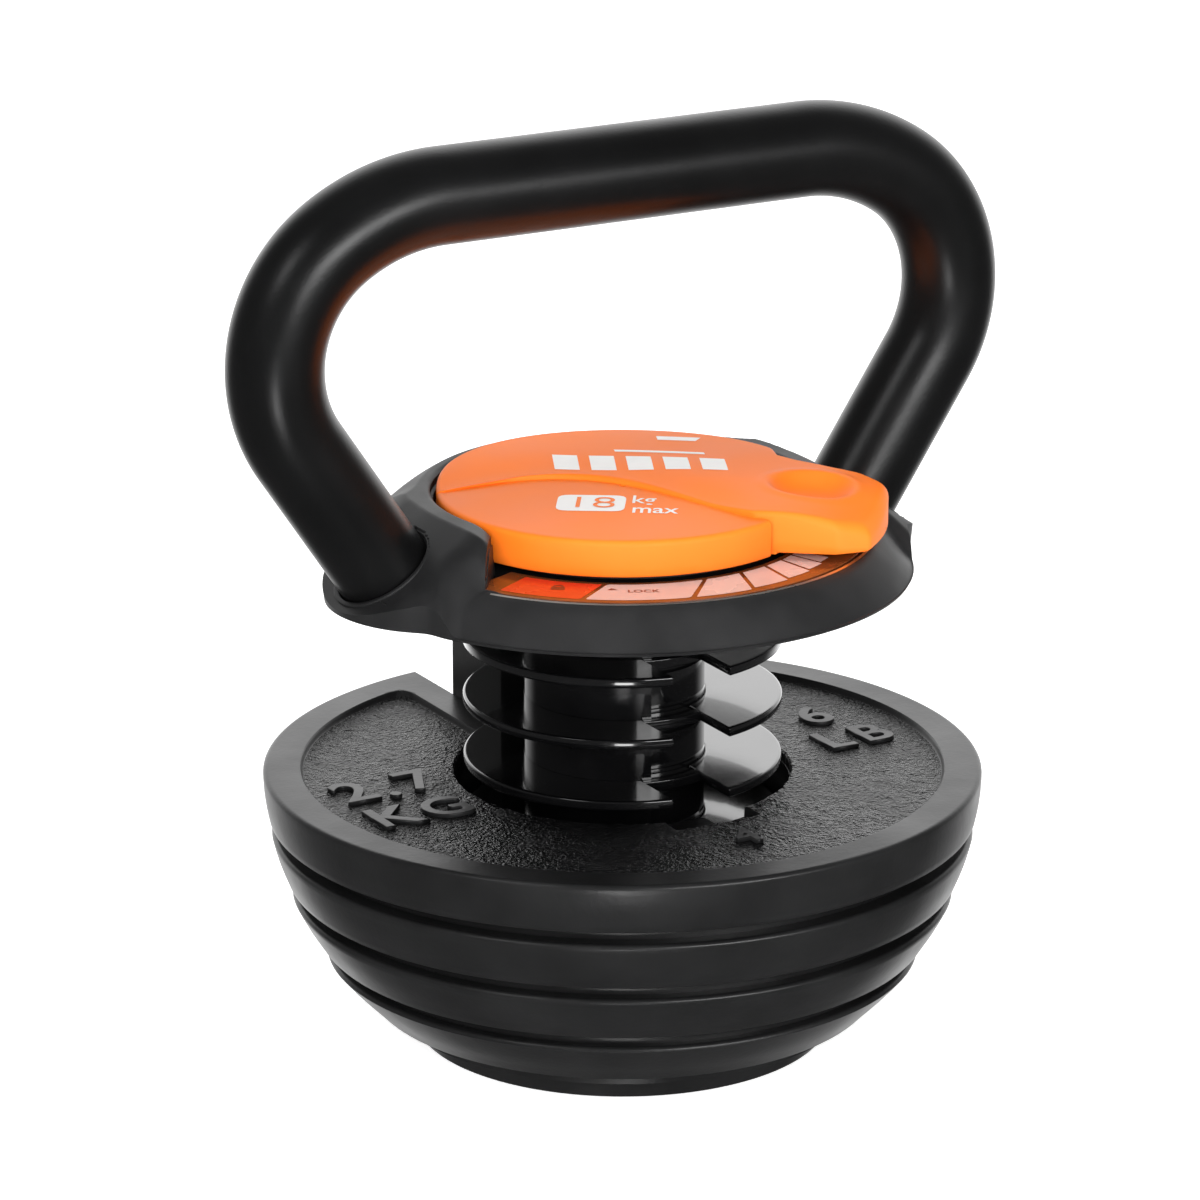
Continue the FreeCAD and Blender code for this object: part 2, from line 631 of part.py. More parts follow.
# --- keel ----------------------------------------------------------------------
def keel():
    """Return the fixed keel, a channel open to the rear."""
    outline = [(KEEL_INNER, PLATE_BOTTOM), (KEEL_OUTER, PLATE_BOTTOM), (KEEL_OUTER, KEEL_BEND),
               (KEEL_TOE, KEEL_FOOT), (KEEL_INNER, KEEL_FOOT)]
    half = KEEL_WIDTH / 2
    points = [point(-half, y, z) for y, z in outline]
    face = Part.Face(Part.makePolygon(points + points[:1]))
    shape = face.extrude(point(KEEL_WIDTH, 0, 0))
    web = box(-half + KEEL_WALL, half - KEEL_WALL, KEEL_INNER + KEEL_WALL, KEEL_OUTER + 1,
              KEEL_FOOT + KEEL_WALL, PLATE_BOTTOM - KEEL_HEAD)
    shape = shape.cut(web)
    for x, y in keel_bolt_places():
        shape = shape.cut(cylinder(KEEL_BOLT_RADIUS, PLATE_BOTTOM - KEEL_BOLT_LENGTH, PLATE_BOTTOM + 1, x, y))
    return shape


def keel_bolt_places():
    """Return the places of the two bolts that hold the keel."""
    y = KEEL_INNER + 10
    return [(-KEEL_BOLT_SPREAD / 2, y), (KEEL_BOLT_SPREAD / 2, y)]


def keel_bolts():
    """Return the bolts from the top of the mounting plate into the keel."""
    bolts = []
    for x, y in keel_bolt_places():
        head = Part.makeCone(KEEL_BOLT_RADIUS, 5.5, 3, point(x, y, PLATE_TOP - 3), UP)
        shank = cylinder(KEEL_BOLT_RADIUS, PLATE_BOTTOM - KEEL_BOLT_LENGTH + 1, PLATE_TOP - 3, x, y)
        bolts.append(head.fuse(shank).removeSplitter())
    return Part.makeCompound(bolts)


# --- collar --------------------------------------------------------------------
def cover_screw_places():
    """Return the places of the four screws that close the collar."""
    return [(side * SCREW_X, end * SCREW_Y) for side in (-1, 1) for end in (-1, 1)]


def mounting_plate():
    """Return the steel plate that tube, keel, bush and collar fasten to."""
    half = EAR_WIDTH / 2
    ears = box(-EAR_REACH, EAR_REACH, -half, half, PLATE_BOTTOM, PLATE_TOP)
    shape = cylinder(PLATE_RADIUS, PLATE_BOTTOM, PLATE_TOP).fuse(ears)
    lug = box(-KEEL_WIDTH / 2, KEEL_WIDTH / 2, 0, LUG_REACH, PLATE_BOTTOM, PLATE_TOP)
    shape = shape.fuse(lug).cut(cylinder(BUSH_RADIUS, PLATE_BOTTOM - 1, PLATE_TOP + 1))
    leg = leg_cylinder(TUBE_RADIUS, PLATE_BOTTOM - 12, PLATE_TOP + 12)
    shape = shape.cut(leg).cut(mirrored(leg)).cut(leg_pins()).cut(keel_bolts())
    for x, y in cover_screw_places():
        shape = shape.cut(cylinder(SCREW_RADIUS + 0.2, PLATE_BOTTOM - 1, PLATE_TOP + 1, x, y))
    x, y = detent_place()
    shape = shape.cut(cylinder(BALL_RADIUS + 0.2, PLATE_BOTTOM - 1, PLATE_TOP + 1, x, y))
    return shape.removeSplitter()


def boss():
    """Return the right-hand bulge around the tube, under a top square to the leg."""
    shape = cylinder(BOSS_PLAN_RADIUS, COLLAR_BASE, CROWN_TOP, BOSS_CENTRE, 0)
    run = BOSS_CENTRE + BOSS_PLAN_RADIUS
    drop = run * math.tan(math.radians(LEG_LEAN))
    outline = [(CROWN_EDGE, CROWN_TOP), (CROWN_EDGE + run, CROWN_TOP - drop),
               (CROWN_EDGE + run, CROWN_TOP + 5), (CROWN_EDGE, CROWN_TOP + 5)]
    points = [point(x, -BOSS_CENTRE, z) for x, z in outline]
    wedge = Part.Face(Part.makePolygon(points + points[:1])).extrude(point(0, 2 * BOSS_CENTRE, 0))
    return shape.cut(wedge)


def window(grow, base):
    """Return the front window that the lever swings through, from a height upwards."""
    run = math.dist(WINDOW_NEAR, WINDOW_FAR)
    shift_x = grow * (WINDOW_FAR[1] - WINDOW_NEAR[1]) / run
    shift_y = grow * (WINDOW_FAR[0] - WINDOW_NEAR[0]) / run
    near = (WINDOW_NEAR[0] + shift_x, shift_y - WINDOW_NEAR[1])
    far = (WINDOW_FAR[0] + shift_x, shift_y - WINDOW_FAR[1])
    right = [near, far, (far[0], -BOWL_RADIUS)]
    left = [(-x, y) for x, y in reversed(right)]
    return prism(right + left, base, CROWN_TOP + 1)


def crown():
    """Return the collar's full cone ring, before the front window is cut."""
    bulge = Part.Arc(point(CROWN_EDGE, 0, CROWN_TOP), point(RIM_RADIUS, 0, RIM_TOP),
                     point(COLLAR_RADIUS, 0, COLLAR_BASE))
    corners = [point(COLLAR_RADIUS, 0, COLLAR_BASE), point(DECK_BORE, 0, COLLAR_BASE), point(DECK_BORE, 0, DECK_TOP),
               point(CROWN_INNER, 0, DECK_TOP), point(CROWN_INNER, 0, CROWN_TOP), point(CROWN_EDGE, 0, CROWN_TOP)]
    lines = [Part.LineSegment(a, b) for a, b in zip(corners, corners[1:])]
    wire = Part.Wire([edge.toShape() for edge in [bulge] + lines])
    return Part.Face(wire).revolve(ORIGIN, UP, 360)


def collar_envelope():
    """Return the outer body of the collar with its window, before it is hollowed."""
    bosses = boss().fuse(mirrored(boss()))
    bosses = bosses.cut(cylinder(CROWN_INNER, DECK_TOP, CROWN_TOP + 1)).cut(cylinder(DECK_BORE, 0, DECK_TOP))
    bed = window(0, DECK_TOP).common(cylinder(BED_RADIUS, DECK_TOP, CROWN_TOP))
    parked = lever_plan(LEVER_CLEARANCE).extrude(point(0, 0, CROWN_TOP))
    parked.translate(point(0, 0, RIM_TOP - LEVER_FLOOR))
    shape = crown().fuse(bosses).cut(window(0, RIM_TOP)).cut(bed)
    return shape.cut(parked).cut(turned(parked, -DIAL_TRAVEL))


def collar_shell():
    """Return the plastic collar, hollow below for the mounting plate."""
    shape = collar_envelope()
    ear = EAR_REACH + POCKET_GAP
    half = EAR_WIDTH / 2 + POCKET_GAP
    pocket = cylinder(COLLAR_RADIUS - COLLAR_WALL, COLLAR_BASE - 1, PLATE_BOTTOM)
    pocket = pocket.fuse(cylinder(LUG_REACH + 2, COLLAR_BASE, PLATE_TOP))
    pocket = pocket.fuse(box(-ear, ear, -half, half, COLLAR_BASE - 1, PLATE_TOP))
    shape = shape.cut(pocket)
    socket = leg_cylinder(TUBE_RADIUS + SOCKET_GAP, PLATE_TOP - 20, CROWN_TOP + 12)
    shape = shape.cut(socket).cut(mirrored(socket))
    for x, y in cover_screw_places():
        shape = shape.cut(cylinder(SCREW_RADIUS, PLATE_TOP - 1, COLLAR_BASE + SCREW_LENGTH, x, y))
    x, y = detent_place()
    shape = shape.cut(cylinder(BALL_RADIUS + 0.2, PLATE_TOP - 1, SCALE_TOP + 1, x, y))
    solids = sorted(shape.Solids, key=lambda solid: solid.Volume)
    return solids[-1]


def lower_cover():
    """Return the thin disc that closes the collar from below."""
    shape = tube(COLLAR_RADIUS - COLLAR_WALL - 0.3, CAP_RADIUS + 1.5, COLLAR_BASE, PLATE_BOTTOM)
    half = KEEL_WIDTH / 2 + 0.3
    shape = shape.cut(box(-half, half, KEEL_INNER - 0.3, COLLAR_RADIUS + 5, COLLAR_BASE - 1, PLATE_BOTTOM + 1))
    return shape.cut(cover_screws())


def cover_screws():
    """Return the four countersunk screws that close the collar."""
    top = COLLAR_BASE + SCREW_LENGTH
    screws = [countersunk(SCREW_RADIUS, 3.8, COVER_THICKNESS, COLLAR_BASE, top, x, y)
              for x, y in cover_screw_places()]
    return Part.makeCompound(screws)


def scale_ring():
    """Return the printed scale ring that lies on the collar's deck, wide in the window."""
    inner = tube(CROWN_INNER - POCKET_GAP, DECK_BORE, DECK_TOP, SCALE_TOP)
    outer = tube(SCALE_RADIUS, DECK_BORE, DECK_TOP, SCALE_TOP).common(window(-POCKET_GAP, DECK_TOP))
    x, y = detent_place()
    return inner.fuse(outer).cut(cylinder(BALL_RADIUS + 0.2, 0, CROWN_TOP, x, y)).removeSplitter()


def nodes():
    """Return every node's name and shape."""
    shapes = {
        "handle_tube": handle_tube(),
        "tube_plug_right": tube_plug(),
        "tube_plug_left": mirrored(tube_plug()),
        "leg_pins": leg_pins(),
        "mounting_plate": mounting_plate(),
        "collar_shell": collar_shell(),
        "lower_cover": lower_cover(),
        "cover_screws": cover_screws(),
        "scale_ring": scale_ring(),
        "main_bush": main_bush(),
        "thrust_washer": thrust_washer(),
        "detent_ball": detent_ball(),
        "detent_spring": detent_spring(),
        "detent_plug": detent_plug(),
        "keel": keel(),
        "keel_bolts": keel_bolts(),
        "dial_knob": dial_knob(),
        "dial_carrier": dial_carrier(),
        "dial_screws": dial_screws(),
        "drive_key": key_place(),
        "retaining_ring": retaining_ring(),
        "core_head": core_head(),
        "core_tube": core_tube(),
        "end_cap": end_cap(),
        "tie_bolt": tie_bolt(),
        "tie_washer": tie_washer(),
        "tie_nut": tie_nut(),
        "rubber_foot": rubber_foot(),
    }
    for level in range(1, FLANGE_COUNT + 1):
        shapes[f"flange_{level}"] = flange(level)
        shapes[f"sleeve_{level}"] = sleeve(level)
    for level in range(1, PLATE_COUNT + 1):
        shapes[f"plate_{level}"] = plate(level)
    return shapes


os.makedirs("parts", exist_ok=True)
for name, shape in nodes().items():
    shape.exportStep(f"parts/{name}.step")
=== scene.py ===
"""Looks of an adjustable kettlebell: tube handle, collar, lever dial, spool and iron plates."""

import logging
import math
from dataclasses import dataclass, field
from enum import Enum
from typing import Iterable, Sequence

import bmesh
import bpy
import numpy as np
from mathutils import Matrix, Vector

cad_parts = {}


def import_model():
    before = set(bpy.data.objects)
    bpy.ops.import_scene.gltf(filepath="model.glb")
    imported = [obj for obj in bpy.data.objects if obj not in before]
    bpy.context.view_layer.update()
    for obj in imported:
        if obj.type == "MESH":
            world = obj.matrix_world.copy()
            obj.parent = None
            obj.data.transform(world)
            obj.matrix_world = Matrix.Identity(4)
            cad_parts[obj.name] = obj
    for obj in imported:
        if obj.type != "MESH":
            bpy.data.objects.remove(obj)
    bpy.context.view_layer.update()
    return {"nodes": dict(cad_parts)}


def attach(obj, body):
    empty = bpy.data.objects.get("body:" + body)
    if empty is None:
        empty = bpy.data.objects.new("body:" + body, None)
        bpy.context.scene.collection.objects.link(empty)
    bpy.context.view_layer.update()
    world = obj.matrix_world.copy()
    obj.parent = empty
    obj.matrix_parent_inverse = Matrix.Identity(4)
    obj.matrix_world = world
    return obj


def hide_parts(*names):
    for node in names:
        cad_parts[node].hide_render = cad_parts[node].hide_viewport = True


log = logging.getLogger("kettlebell")
MM = 0.001
TAU = 2.0 * math.pi
CORNER_SPANS = 4  # spans in each rounded corner of a profile


class Body(Enum):
    """Bodies that pieces ride on."""

    HANDLE = "handle_unit"
    SPOOL = "spool"


class Slot(Enum):
    """Material slots of the record."""

    POWDER = "powder_coat"
    COLLAR = "collar_plastic"
    DIAL = "dial_plastic"
    PRINT = "scale_print"
    PLATE = "plate_enamel"
    SPOOL = "spool_gloss"
    KEEL = "keel_coat"


# ---------------------------------------------------------------- small helpers
def add_object(name: str, data: bpy.types.ID) -> bpy.types.Object:
    """Put a mesh, curve, light or camera into the scene as a new object.

    Args:
        name: Name of the piece.
        data: Its mesh, curve, light or camera.

    Returns:
        The new object.
    """
    item = bpy.data.objects.new(name, data)
    bpy.context.scene.collection.objects.link(item)
    return item


def read_points(mesh: bpy.types.Mesh) -> np.ndarray:
    """Return a mesh's points in metres, one row each.

    Args:
        mesh: The mesh.

    Returns:
        The points.
    """
    co = np.empty(len(mesh.vertices) * 3, np.float32)
    mesh.vertices.foreach_get("co", co)
    return co.reshape(-1, 3)


def write_points(mesh: bpy.types.Mesh, co: np.ndarray) -> None:
    """Put points in metres back into a mesh."""
    mesh.vertices.foreach_set("co", co.astype(np.float32).ravel())
    mesh.update()


def wire(tree: bpy.types.NodeTree, *pairs: tuple[bpy.types.NodeSocket, bpy.types.NodeSocket]) -> None:
    """Link each pair of an output and an input socket."""
    for source, target in pairs:
        tree.links.new(source, target)


def preset(node: bpy.types.Node, **values: object) -> None:
    """Set constants on named input sockets; an underscore in a name stands for a space."""
    for label, value in values.items():
        node.inputs[label.replace("_", " ")].default_value = value


def spin(x: np.ndarray, y: np.ndarray, degrees: float) -> tuple[np.ndarray, np.ndarray]:
    """Turn places about the vertical axis."""
    a = math.radians(degrees)
    return x * math.cos(a) - y * math.sin(a), x * math.sin(a) + y * math.cos(a)


def oblong(x0: float, y0: float, x1: float, y1: float) -> np.ndarray:
    """Return the four corners of a rectangle, in order round it."""
    return np.array([(x0, y0), (x1, y0), (x1, y1), (x0, y1)], float)


def heading(azimuth: float, elevation: float) -> tuple[float, float, float]:
    """Return the unit direction at an azimuth from the front and an elevation, in degrees."""
    a, e = math.radians(azimuth), math.radians(elevation)
    return math.sin(a) * math.cos(e), -math.cos(a) * math.cos(e), math.sin(e)


def aim_at(item: bpy.types.Object, place: Vector, aim: Vector) -> None:
    """Stand a camera or light at a place and turn it to look at the aim point."""
    item.location = place
    item.rotation_euler = (aim - place).to_track_quat("-Z", "Y").to_euler()


# ---------------------------------------------------------------- shells and surfaces
def smooth(low: float, high: float, value: np.ndarray) -> np.ndarray:
    """Ease from 0 at low to 1 at high with a cubic.

    Args:
        low: Value where the ease starts.
        high: Value where it ends.
        value: Values to ease.

    Returns:
        The eased values, between 0 and 1.
    """
    t = np.clip((value - low) / (high - low), 0.0, 1.0)
    return t * t * (3.0 - 2.0 * t)


def lattice_noise(x: np.ndarray, y: np.ndarray, cell: float, seed: int) -> np.ndarray:
    """Smooth random heights: random values on a square lattice, eased between its corners.

    Args:
        x: First coordinate, in mm.
        y: Second coordinate, in mm.
        cell: Lattice spacing in mm.
        seed: Seed of the random values.

    Returns:
        Heights between -1 and 1.
    """
    table = np.random.default_rng(seed).uniform(-1.0, 1.0, (256, 256))
    u, v = x / cell, y / cell
    i, j = np.floor(u).astype(int), np.floor(v).astype(int)
    s, t = u - i, v - j
    s, t = s * s * (3 - 2 * s), t * t * (3 - 2 * t)
    i, j, p, q = i % 256, j % 256, (i + 1) % 256, (j + 1) % 256
    low = table[i, j] * (1 - s) + table[p, j] * s
    high = table[i, q] * (1 - s) + table[p, q] * s
    return low * (1 - t) + high * t


@dataclass
class Shell:
    """A closed or open skin: points in mm, four-sided faces, and a few many-sided caps."""

    points: np.ndarray
    quads: np.ndarray
    caps: list[np.ndarray] = field(default_factory=list)

    def volume(self) -> float:
        """Return the signed volume, the sum of the tetrahedra from the origin to each face."""
        p = self.points
        total = 0.0
        for tri in ((0, 1, 2), (0, 2, 3)):
            a, b, c = (p[self.quads[:, k]] for k in tri)
            total += float(np.einsum("ij,ij->i", a, np.cross(b, c)).sum())
        for cap in self.caps:
            a, b, c = p[cap[0]], p[cap[1:-1]], p[cap[2:]]
            total += float((np.cross(b, c) @ a).sum())
        return total / 6.0

    def outward(self) -> "Shell":
        """Return the shell with its faces turned to point outwards."""
        if self.volume() >= 0.0:
            return self
        return Shell(self.points, self.quads[:, ::-1].copy(), [cap[::-1].copy() for cap in self.caps])


def grid_shell(grid: np.ndarray, ring: bool = False, loop: bool = True, caps: bool = False) -> Shell:
    """Make a shell from a grid of points.

    Args:
        grid: Points as an array of rows, columns and x, y, z.
        ring: Whether the last row joins the first.
        loop: Whether the last column joins the first.
        caps: Whether the first and last rows are closed by a flat face.

    Returns:
        The shell, with its faces outwards if it is closed.
    """
    rows, cols = grid.shape[:2]
    number = np.arange(rows * cols).reshape(rows, cols)
    if ring:
        number = np.vstack([number, number[:1]])
    if loop:
        number = np.hstack([number, number[:, :1]])
    quads = np.stack([number[:-1, :-1], number[1:, :-1], number[1:, 1:], number[:-1, 1:]], -1).reshape(-1, 4)
    ends = [number[0, :cols][::1].copy(), number[-1, :cols][::-1].copy()] if caps else []
    shell = Shell(grid.reshape(-1, 3), quads, ends)
    return shell.outward() if loop and (ring or caps) else shell


def flat_shape(outline: np.ndarray, height: float) -> Shell:
    """Make one flat face from an outline of x, y points at a height.

    Args:
        outline: Outline points as x and y, in mm.
        height: Height in mm.

    Returns:
        The face, turned upwards.
    """
    points = np.column_stack([outline, np.full(len(outline), height)])
    area = np.sum(outline[:, 0] * np.roll(outline[:, 1], -1) - outline[:, 1] * np.roll(outline[:, 0], -1))
    order = np.arange(len(outline)) if area > 0 else np.arange(len(outline))[::-1]
    return Shell(points, np.zeros((0, 4), int), [order])


def revolve(path: np.ndarray, angle: np.ndarray) -> np.ndarray:
    """Carry a profile of radius and height to a column of azimuths: radius times cosine and sine."""
    radius, height = path[:, 0], path[:, 1]
    return np.stack(np.broadcast_arrays(radius * np.cos(angle), radius * np.sin(angle), height), -1)


def turned(outline: Sequence[tuple[float, float]], steps: int = 360, bead: float = 0.0) -> Shell:
    """Turn a closed outline of radius and height once round the axis.

    Args:
        outline: Corners as radius and height, in mm.
        steps: Number of steps round the axis.
        bead: Rounding of the corners, in mm.

    Returns:
        The closed shell.
    """
    angle = np.linspace(0, TAU, steps, endpoint=False)[:, None]
    return grid_shell(revolve(rounded(np.array(outline, float), bead), angle), ring=True)


def rounded(corners: np.ndarray, bead: float) -> np.ndarray:
    """Round the corners of a closed outline with a curve that leaves each side at the bead length.

    Args:
        corners: Corner points, one row each.
        bead: Length taken from each side of a corner.

    Returns:
        The rounded outline.
    """
    if bead <= 0.0:
        return corners
    before, after = np.roll(corners, 1, 0) - corners, np.roll(corners, -1, 0) - corners
    size_before, size_after = (np.linalg.norm(v, axis=1, keepdims=True) for v in (before, after))
    cut = np.minimum(bead, 0.45 * np.minimum(size_before, size_after))
    start, end = corners + before / size_before * cut, corners + after / size_after * cut
    t = np.linspace(0, 1, CORNER_SPANS + 1)[None, :, None]
    curve = (1 - t) ** 2 * start[:, None] + 2 * t * (1 - t) * corners[:, None] + t ** 2 * end[:, None]
    return curve.reshape(-1, corners.shape[1])


def slot_angles(radii: np.ndarray, half: float, lines: Iterable[float], steps: int) -> np.ndarray:
    """Spread lines round a ring that has a parallel-sided slot on one side.

    Near the slot the lines run parallel to its sides, and elsewhere they fan out evenly. The angle is
    measured from the slot's middle.

    Args:
        radii: Radius of each column.
        half: Half width of the slot.
        lines: Offsets from the slot's side of the further parallel lines.
        steps: Number of fanned lines.

    Returns:
        Angles with one row per line and one column per radius.
    """
    offsets = half + np.array([0.0, *lines])
    near = np.arcsin(np.clip(offsets[:, None] / radii[None, :], -1, 1))
    t = np.linspace(0, 1, steps)[1:-1, None]
    middle = near[-1] * (1 - t) + (TAU - near[-1]) * t
    return np.vstack([near, middle, TAU - near[::-1]])


def make_object(name: str, shells: Sequence[Shell], crease: float = 35.0) -> bpy.types.Object:
    """Turn shells into one smooth-shaded mesh object at the origin.

    Args:
        name: Name of the piece.
        shells: The shells that it is made of.
        crease: Angle in degrees past which an edge stays sharp.

    Returns:
        The new object.
    """
    start, points, loops, sizes = 0, [], [], []
    for shell in shells:
        points.append(shell.points)
        loops.append((shell.quads + start).ravel())
        sizes.append(np.full(len(shell.quads), 4))
        for cap in shell.caps:
            loops.append(cap + start)
            sizes.append(np.array([len(cap)]))
        start += len(shell.points)
    xyz, corner, size = np.vstack(points) * MM, np.concatenate(loops), np.concatenate(sizes)
    mesh = bpy.data.meshes.new(name)
    mesh.vertices.add(len(xyz))
    mesh.vertices.foreach_set("co", xyz.astype(np.float32).ravel())
    mesh.loops.add(len(corner))
    mesh.loops.foreach_set("vertex_index", corner.astype(np.int32))
    mesh.polygons.add(len(size))
    mesh.polygons.foreach_set("loop_start", np.concatenate([[0], np.cumsum(size)[:-1]]).astype(np.int32))
    mesh.update(calc_edges=True)
    mesh.validate()
    mesh.shade_smooth()
    mesh.set_sharp_from_angle(angle=math.radians(crease))
    return add_object(name, mesh)


def lettering(name: str, text: str, size: float, raise_by: float, swell: float,
              place: tuple[float, float, float], turn: float, narrow: float = 1.0) -> bpy.types.Object:
    """Make raised or printed characters as a mesh.

    Args:
        name: Name of the piece.
        text: The characters.
        size: Letter size in mm; capitals are about 0.7 of it.
        raise_by: How far the characters stand up, in mm.
        swell: How far the strokes are thickened, in mm.
        place: Middle of the text, with the height of its underside.
        turn: Direction of reading in degrees.
        narrow: Width of the letters as a share of their usual width.

    Returns:
        The new object at the origin.
    """
    curve = bpy.data.curves.new(name + "_outline", "FONT")
    curve.body, curve.size, curve.align_x, curve.align_y = text, size * MM, "CENTER", "CENTER"
    curve.extrude, curve.offset = raise_by * MM / 2, swell * MM
    if raise_by > 0.3:
        curve.bevel_depth, curve.bevel_resolution = 0.25 * MM, 2
    curve.resolution_u = 5
    holder = add_object(name + "_outline", curve)
    bpy.context.view_layer.update()
    mesh = bpy.data.meshes.new_from_object(holder.evaluated_get(bpy.context.evaluated_depsgraph_get()))
    bpy.data.objects.remove(holder)
    co = read_points(mesh)
    x, y = spin(co[:, 0] * narrow, co[:, 1], turn)
    z = co[:, 2] - co[:, 2].min() + place[2] * MM
    write_points(mesh, np.column_stack([x + place[0] * MM, y + place[1] * MM, z]))
    mesh.materials.clear()
    return add_object(name, mesh)


def softened(node: str, name: str, width: float) -> bpy.types.Object:
    """Copy a CAD node, merge its corners and round its edges.

    Args:
        node: Name of the CAD node.
        name: Name of the new piece.
        width: Width of the rounding in mm.

    Returns:
        The new object.
    """
    mesh = bpy.data.objects[node].data.copy()
    mesh.name = name
    item = add_object(name, mesh)
    work = bmesh.new()
    work.from_mesh(mesh)
    bmesh.ops.remove_doubles(work, verts=work.verts, dist=1e-6)
    bmesh.ops.recalc_face_normals(work, faces=work.faces)
    work.to_mesh(mesh)
    work.free()
    mesh.materials.clear()
    mesh.shade_smooth()
    mesh.set_sharp_from_angle(angle=math.radians(35))
    bevel = item.modifiers.new("edge rounding", "BEVEL")
    bevel.width, bevel.segments, bevel.use_clamp_overlap = width * MM, 3, True
    bevel.limit_method, bevel.angle_limit = "ANGLE", math.radians(40)
    return item


# ---------------------------------------------------------------- finishes
class Groups:
    """Node groups that several finishes share."""

    def __init__(self) -> None:
        """Build the shared groups."""
        self.grain = self.make_grain()
        self.mottle = self.make_mottle()

    @staticmethod
    def start(name: str, inputs: Sequence[tuple[str, str, float]], outputs: Sequence[tuple[str, str]]
              ) -> tuple[bpy.types.NodeTree, bpy.types.Node, bpy.types.Node]:
        """Start a group with named sockets.

        Args:
            name: Name of the group.
            inputs: Name, kind and default of each input.
            outputs: Name and kind of each output.

        Returns:
            The tree, its input node and its output node.
        """
        tree = bpy.data.node_groups.new(name, "ShaderNodeTree")
        for label, kind, default in inputs:
            socket = tree.interface.new_socket(name=label, in_out="INPUT", socket_type=kind)
            socket.default_value = default
        for label, kind in outputs:
            tree.interface.new_socket(name=label, in_out="OUTPUT", socket_type=kind)
        return tree, tree.nodes.new("NodeGroupInput"), tree.nodes.new("NodeGroupOutput")

    def make_grain(self) -> bpy.types.NodeTree:
        """Return the group for a moulded or cast skin: coarse swell plus fine grain, as a height."""
        tree, source, result = self.start(
            "skin_grain", [("Scale", "NodeSocketFloat", 1200.0), ("Swell", "NodeSocketFloat", 0.3)],
            [("Height", "NodeSocketFloat")])
        place = tree.nodes.new("ShaderNodeTexCoord")
        fine, coarse = tree.nodes.new("ShaderNodeTexNoise"), tree.nodes.new("ShaderNodeTexNoise")
        preset(fine, Detail=2.0)
        preset(coarse, Detail=1.0)
        shrink, mix, add = (tree.nodes.new("ShaderNodeMath") for _ in range(3))
        shrink.operation, mix.operation, add.operation = "MULTIPLY", "MULTIPLY", "ADD"
        shrink.inputs[1].default_value = 0.22
        wire(tree, (place.outputs["Object"], fine.inputs["Vector"]),
             (place.outputs["Object"], coarse.inputs["Vector"]),
             (source.outputs["Scale"], fine.inputs["Scale"]), (source.outputs["Scale"], shrink.inputs[0]),
             (shrink.outputs[0], coarse.inputs["Scale"]), (coarse.outputs["Fac"], mix.inputs[0]),
             (source.outputs["Swell"], mix.inputs[1]), (fine.outputs["Fac"], add.inputs[0]),
             (mix.outputs[0], add.inputs[1]), (add.outputs[0], result.inputs["Height"]))
        return tree

    def make_mottle(self) -> bpy.types.NodeTree:
        """Return the group that varies colour and roughness in soft patches."""
        tree, source, result = self.start(
            "finish_mottle",
            [("Low Colour", "NodeSocketColor", (0, 0, 0, 1)),
             ("High Colour", "NodeSocketColor", (1, 1, 1, 1)),
             ("Low Roughness", "NodeSocketFloat", 0.3), ("High Roughness", "NodeSocketFloat", 0.5),
             ("Scale", "NodeSocketFloat", 40.0)],
            [("Colour", "NodeSocketColor"), ("Roughness", "NodeSocketFloat")])
        place, cloud = tree.nodes.new("ShaderNodeTexCoord"), tree.nodes.new("ShaderNodeTexNoise")
        preset(cloud, Detail=5.0)
        spread = tree.nodes.new("ShaderNodeMapRange")
        preset(spread, From_Min=0.35, From_Max=0.65)
        tint, rough = tree.nodes.new("ShaderNodeMix"), tree.nodes.new("ShaderNodeMix")
        tint.data_type, rough.data_type = "RGBA", "FLOAT"
        wire(tree, (place.outputs["Object"], cloud.inputs["Vector"]),
             (source.outputs["Scale"], cloud.inputs["Scale"]), (cloud.outputs["Fac"], spread.inputs["Value"]),
             (spread.outputs["Result"], tint.inputs["Factor"]),
             (spread.outputs["Result"], rough.inputs["Factor"]),
             (source.outputs["Low Colour"], tint.inputs["A"]),
             (source.outputs["High Colour"], tint.inputs["B"]),
             (source.outputs["Low Roughness"], rough.inputs[2]),
             (source.outputs["High Roughness"], rough.inputs[3]),
             (tint.outputs["Result"], result.inputs["Colour"]),
             (rough.outputs[0], result.inputs["Roughness"]))
        return tree


